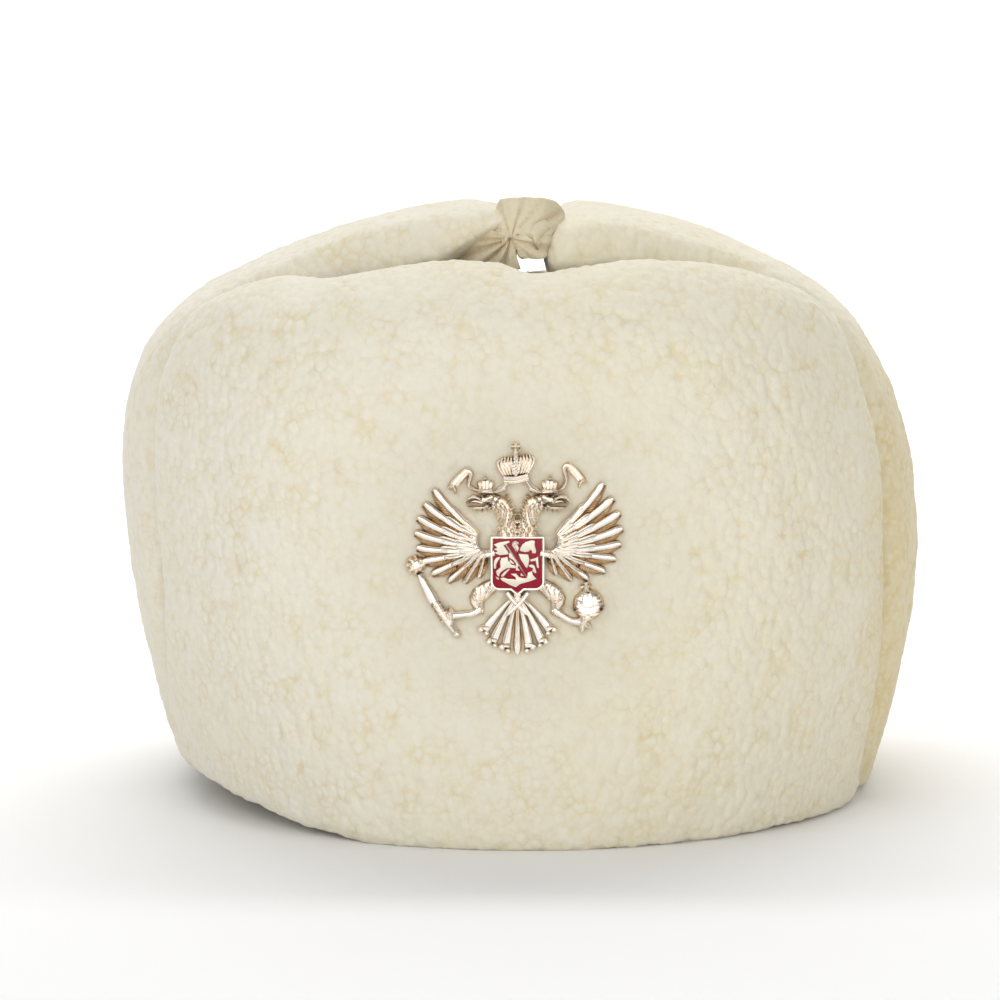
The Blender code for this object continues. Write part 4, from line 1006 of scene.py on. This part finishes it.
def drawSceptre(badge):
    badge.bar([(-24.6, -6.4, 0.8), (-23.6, -8.6, 1.1), (-21.6, -12.4, 1.45), (-20.9, -13.6, 1.3)], 2.1)
    badge.bar([(-20.9, -13.4, 1), (-18.6, -17.2, 1), (-15.8, -21, 0.8)], 1.9)
    for x, y, _ in smoothRoute([(-20.9, -13.6, 0), (-18.2, -17.8, 0)], 5):
        ring = [(x - 1.25, y - 0.7, 0.34), (x, y, 0.42), (x + 1.25, y + 0.7, 0.34)]
        badge.bar(ring, 2.5, rings=5, corners=8)
    badge.ball(-15.3, -21.6, 1.05, 1.9)
    x, y = -25.6, -4.1  # its round head
    badge.ball(x, y, 2.3, 1.9)
    for count, first, reach, radius, rise in ((8, 0, 1.85, 0.95, 2.1), (5, 0.5, 0.9, 0.72, 2.7)):
        petals = [polar(360 * (step + first) / count, reach) for step in range(count)]
        badge.beads([(x + dx, y + dy) for dx, dy in petals], radius, rise)


def drawOrb(badge):
    badge.ball(17.9, -14.2, 4, 2.3, rough=3)
    for off, half in ((-0.85, 0.26), (0, 0.2), (0.85, 0.26)):  # the band round it and its beads
        band = [(13.9, -14.6 + off, half), (17.9, -15.5 + off, half), (21.9, -14.4 + off, half)]
        badge.bar(band, 2.9, corners=8)
    droop = [(14.3 + 0.9 * step, -14.72 - 0.75 * sin(pi * (step + 0.5) / 9)) for step in range(9)]
    badge.beads(droop, 0.36, 3.15)
    for bend in (-1, 1):  # the two bands over its top
        over = [(17.6 + bend * 0.5, -10.6, 0.26), (17.7 + bend * 1.2, -12.6, 0.3)]
        badge.bar([*over, (17.8 + bend * 1.2, -14.6, 0.26)], 2.95, corners=8)
        under = [(17.7 + bend * 0.6, -17, 0.22), (17.9 + bend * 2.4, -16.6, 0.3)]
        badge.bar([*under, (18 + bend * 3.2, -15.4, 0.2)], 2.2, corners=8)
    badge.beads([(17.8, -11.2 - step) for step in range(4)], 0.4, 3.05)
    gems = ((15, -12.6), (16, -12), (15.2, -13.6), (19.9, -12.2), (20.8, -13), (20.4, -11.9))
    badge.beads(gems, 0.5, 2.75)
    badge.bar([(17.4, -10.8, 1), (17.3, -9.6, 0.6), (17.2, -8.4, 0.75)], 2.2, corners=8)
    badge.bar([(15.9, -9.6, 0.55), (17.3, -9.5, 0.45), (18.7, -9.5, 0.55)], 2.1, corners=8, rings=6)


def drawTail(badge):
    middle = [(0, -11.4, 1.3), (0, -15, 0.6), (0, -21, 0.9), (0, -25.2, 1.1), (0, -26.8, 0.4)]
    badge.bar(middle, 1.6, rings=12)
    badge.bar([(0, -13, 0.16), (0, -19, 0.2), (0, -26, 0.14)], 2.1, corners=6)
    for side in (-1, 1):
        badge.side = side
        for index, (tip, root) in enumerate(badgeLook["tail"]):
            root, way = np.array(root), np.array(tip) - root
            across = np.array([way[1], -way[0]]) / np.linalg.norm(way)
            feather = []
            for share, half in ((0, 0.45), (0.35, 0.7), (0.75, 1.15), (0.97, 1.25)):
                feather.append((*(root + way * share + across * 1.2 * share * (share - 1)), half))
            badge.bar(feather, 1.9 - 0.08 * index, fullness=0.45)
            badge.bar([(x, y, 0.16) for x, y, half in feather], 2.5 - 0.08 * index, corners=6)
            x, y = tip
            badge.ball(x + 0.85, y + 0.35, 0.95, 2.4)  # its end curls up in two scrolls
            badge.ball(x - 0.65, y - 0.55, 0.85, 2.2)
            curl = [(x - 1.1, y + 1, 0.4), (x + 0.3, y + 1.15, 0.5), (x + 1.6, y + 0.6, 0.3)]
            badge.bar(curl, 2.6, rings=6, corners=8)
    ribbon = [(2.6, -11, 0.75), (0.9, -13.4, 0.75), (-1.6, -15.8, 0.7), (-2.9, -16.9, 0.3)]
    for side in (-1, 1):  # two crossed ribbons
        badge.side = side
        badge.bar(ribbon, 2.4 + 0.2 * side, rings=10)


def shieldOutline(inset):
    shield = badgeLook["shield"]
    half, bend = shield["half"] - inset, max(0.4, shield["round"] - inset)
    foot = shield["foot"] + inset
    right = [(half, shield["top"] - inset)]
    for step in range(7):
        angle = radians(-15 * step)
        right.append((half - bend + bend * cos(angle), foot + bend + bend * sin(angle)))
    right.append((1.7, foot))
    return right + [(0, shield["point"] + inset * 1.3)] + [(-x, y) for x, y in reversed(right)]


def softenEdges(bm, edges, reach):
    bmesh.ops.bevel(bm, geom=edges, offset=reach, segments=2, profile=0.5, affect="EDGES", material=-1)
    bmesh.ops.recalc_face_normals(bm, faces=bm.faces)


# The shield stands up from the eagle's breast with a raised rim round a sunk field.
def drawShield(badge):
    rise, rim = badgeLook["shield"]["rise"], badgeLook["shield"]["rim"]
    bm = bmesh.new()
    face = bm.faces.new([bm.verts.new((x, y, rise)) for x, y in reversed(shieldOutline(0))])
    top = pick(bmesh.ops.extrude_face_region(bm, geom=[face])["geom"], BMFace)[0]
    bmesh.ops.translate(bm, verts=list(face.verts), vec=(0, 0, -rise))
    bmesh.ops.inset_region(bm, faces=[top], thickness=rim)
    floor = pick(bmesh.ops.extrude_face_region(bm, geom=[top])["geom"], BMFace)[0]
    bmesh.ops.translate(bm, verts=list(floor.verts), vec=(0, 0, -badgeLook["shield"]["sunk"]))
    bmesh.ops.delete(bm, geom=[top], context="FACES_ONLY")
    raised = [e for e in bm.edges if all(abs(v.co.z - rise) < 1e-4 for v in e.verts)]
    softenEdges(bm, [e for e in raised if e.calc_face_angle(0) > 0.8], 0.16)
    pour(bm, badge.shape)


def placeOnVisor(name, badge, node, finish, sharp=50):
    x, y = badgeMiddle
    for vert in badge.shape.verts:
        vert.co = Vector((x + vert.co.x, -badgeLook["back"] - vert.co.z, y + vert.co.y)) * mm
    for edge in badge.shape.edges:
        edge.smooth = edge.calc_face_angle(0) < radians(sharp)
    finishPiece(linkPiece(name, badge.shape), node, finish)


def makeBadge():
    eagle = Relief()
    for side in (-1, 1):
        eagle.side = side
        drawWing(eagle)
        drawHead(eagle)
        drawSmallCrown(eagle)
        drawRibbon(eagle)
        drawLeg(eagle)
    drawGreatCrown(eagle)
    drawSceptre(eagle)
    drawOrb(eagle)
    drawTail(eagle)
    drawShield(eagle)
    placeOnVisor("eagleBadge", eagle, "badge", gold)

    field = Relief()
    field.plate(shieldOutline(badgeLook["shield"]["rim"] + 0.02), 1, 1.8, 0.05)
    placeOnVisor("shieldEnamel", field, "badge_enamel", enamel)

    figure = Relief()
    for outline in figureShapes:
        figure.plate(outline, 1.7, 2.25, 0.12)
    figure.bar([(-3, 1.35, 0.2), (-0.3, -2.9, 0.24), (2.4, -7.2, 0.12)], 0.75, base=1.7, corners=8)
    figure.ball(-0.55, 1.45, 0.62, 0.45, base=2.1)
    placeOnVisor("shieldFigure", figure, "badge_rider", paleGold, sharp=35)


gold = makeGoldFinish("champagneGold", (1.0, 0.95, 0.88, 1.0), (0.68, 0.48, 0.25, 1.0), 0.22)
paleGold = makeGoldFinish("paleMattGold", (0.82, 0.76, 0.64, 1.0), (0.70, 0.60, 0.45, 1.0), 0.50)
enamel = makeEnamelFinish((0.25, 0.0005, 0.012, 1.0), (0.36, 0.001, 0.020, 1.0))
makeBadge()
makeCrown()
makeTieFan()
makeTieStrap()

studio = {
    "cameraPlace": (-5.8 * mm, -1000.0 * mm, 175.0 * mm),
    "cameraDip": 5.51,  # degrees below level
    "lens": 126.1,
    "floor": (0.95, 0.95, 0.95, 1.0),
    "floorHalf": 4.0,
    "floorFront": -3.0,
    "floorBend": (1.4, 0.8),  # where it starts to bend upwards, and the bend's radius
    "wallTop": 4.0,
    "lights": {  # place, target, width and height, watts
        "keyLight": ((-1.0, -1.5, 1.2), (0.0, 0.0, 0.07), (1.4, 1.2), 8.6),
        "frontLight": ((0.3, -1.75, 0.45), (0.0, 0.0, 0.06), (2.4, 1.4), 15.0),
        "topLight": ((0.0, 0.3, 1.6), (0.0, 0.0, 0.0), (1.6, 1.6), 4.5),
        "backLight": ((0.0, 1.0, 2.4), (0.0, 2.2, 0.8), (3.0, 1.0), 60.0),
    },
    "room": 0.28,  # strength of the even white light from all round
}


# A floor that bends up into a wall behind the hat.
def makeFloor():
    half, front = studio["floorHalf"], studio["floorFront"]
    start, radius = studio["floorBend"]
    turns = [radians(angle) for angle in range(0, 91, 10)]
    path = [(start + radius * sin(turn), radius - radius * cos(turn)) for turn in turns]
    bm = bmesh.new()
    edges = [bm.edges.new([bm.verts.new((x, front, 0.0)) for x in (-half, half)])]
    for y, z in path + [(start + radius, studio["wallTop"])]:
        made = bmesh.ops.extrude_edge_only(bm, edges=edges)["geom"]
        for vert in pick(made, BMVert):
            vert.co.y, vert.co.z = y, z
        edges = [edge for edge in pick(made, BMEdge) if all(vert in made for vert in edge.verts)]
    floor = linkPiece("floor", bm)
    floor.data.shade_smooth()
    finish, _, _ = startFinish("paleFloor", {"Roughness": 0.9, "Base Color": studio["floor"]})
    floor.data.materials.append(finish)


def addLight(name, place, target, size, power):
    light = bpy.data.lights.new(name, "AREA")
    light.shape = "RECTANGLE"
    light.size, light.size_y = size
    light.energy = power
    lamp = bpy.data.objects.new(name, light)
    lamp.location = place
    lamp.rotation_euler = (Vector(target) - Vector(place)).to_track_quat("-Z", "Y").to_euler()
    bpy.context.scene.collection.objects.link(lamp)


makeFloor()
for name, settings in studio["lights"].items():
    addLight(name, *settings)

world = bpy.data.worlds.new("softRoom")
world.use_nodes = True
room = world.node_tree.nodes["Background"].inputs
room["Color"].default_value = (1.0, 1.0, 1.0, 1.0)
room["Strength"].default_value = studio["room"]
bpy.context.scene.world = world
bpy.context.scene.view_settings.view_transform = "Standard"

camera = bpy.data.objects.new("camera", bpy.data.cameras.new("camera"))
camera.location = studio["cameraPlace"]
camera.rotation_euler = (radians(90.0 - studio["cameraDip"]), 0.0, 0.0)
camera.data.lens = studio["lens"]
bpy.context.scene.collection.objects.link(camera)
bpy.context.scene.camera = camera
print("studio made")
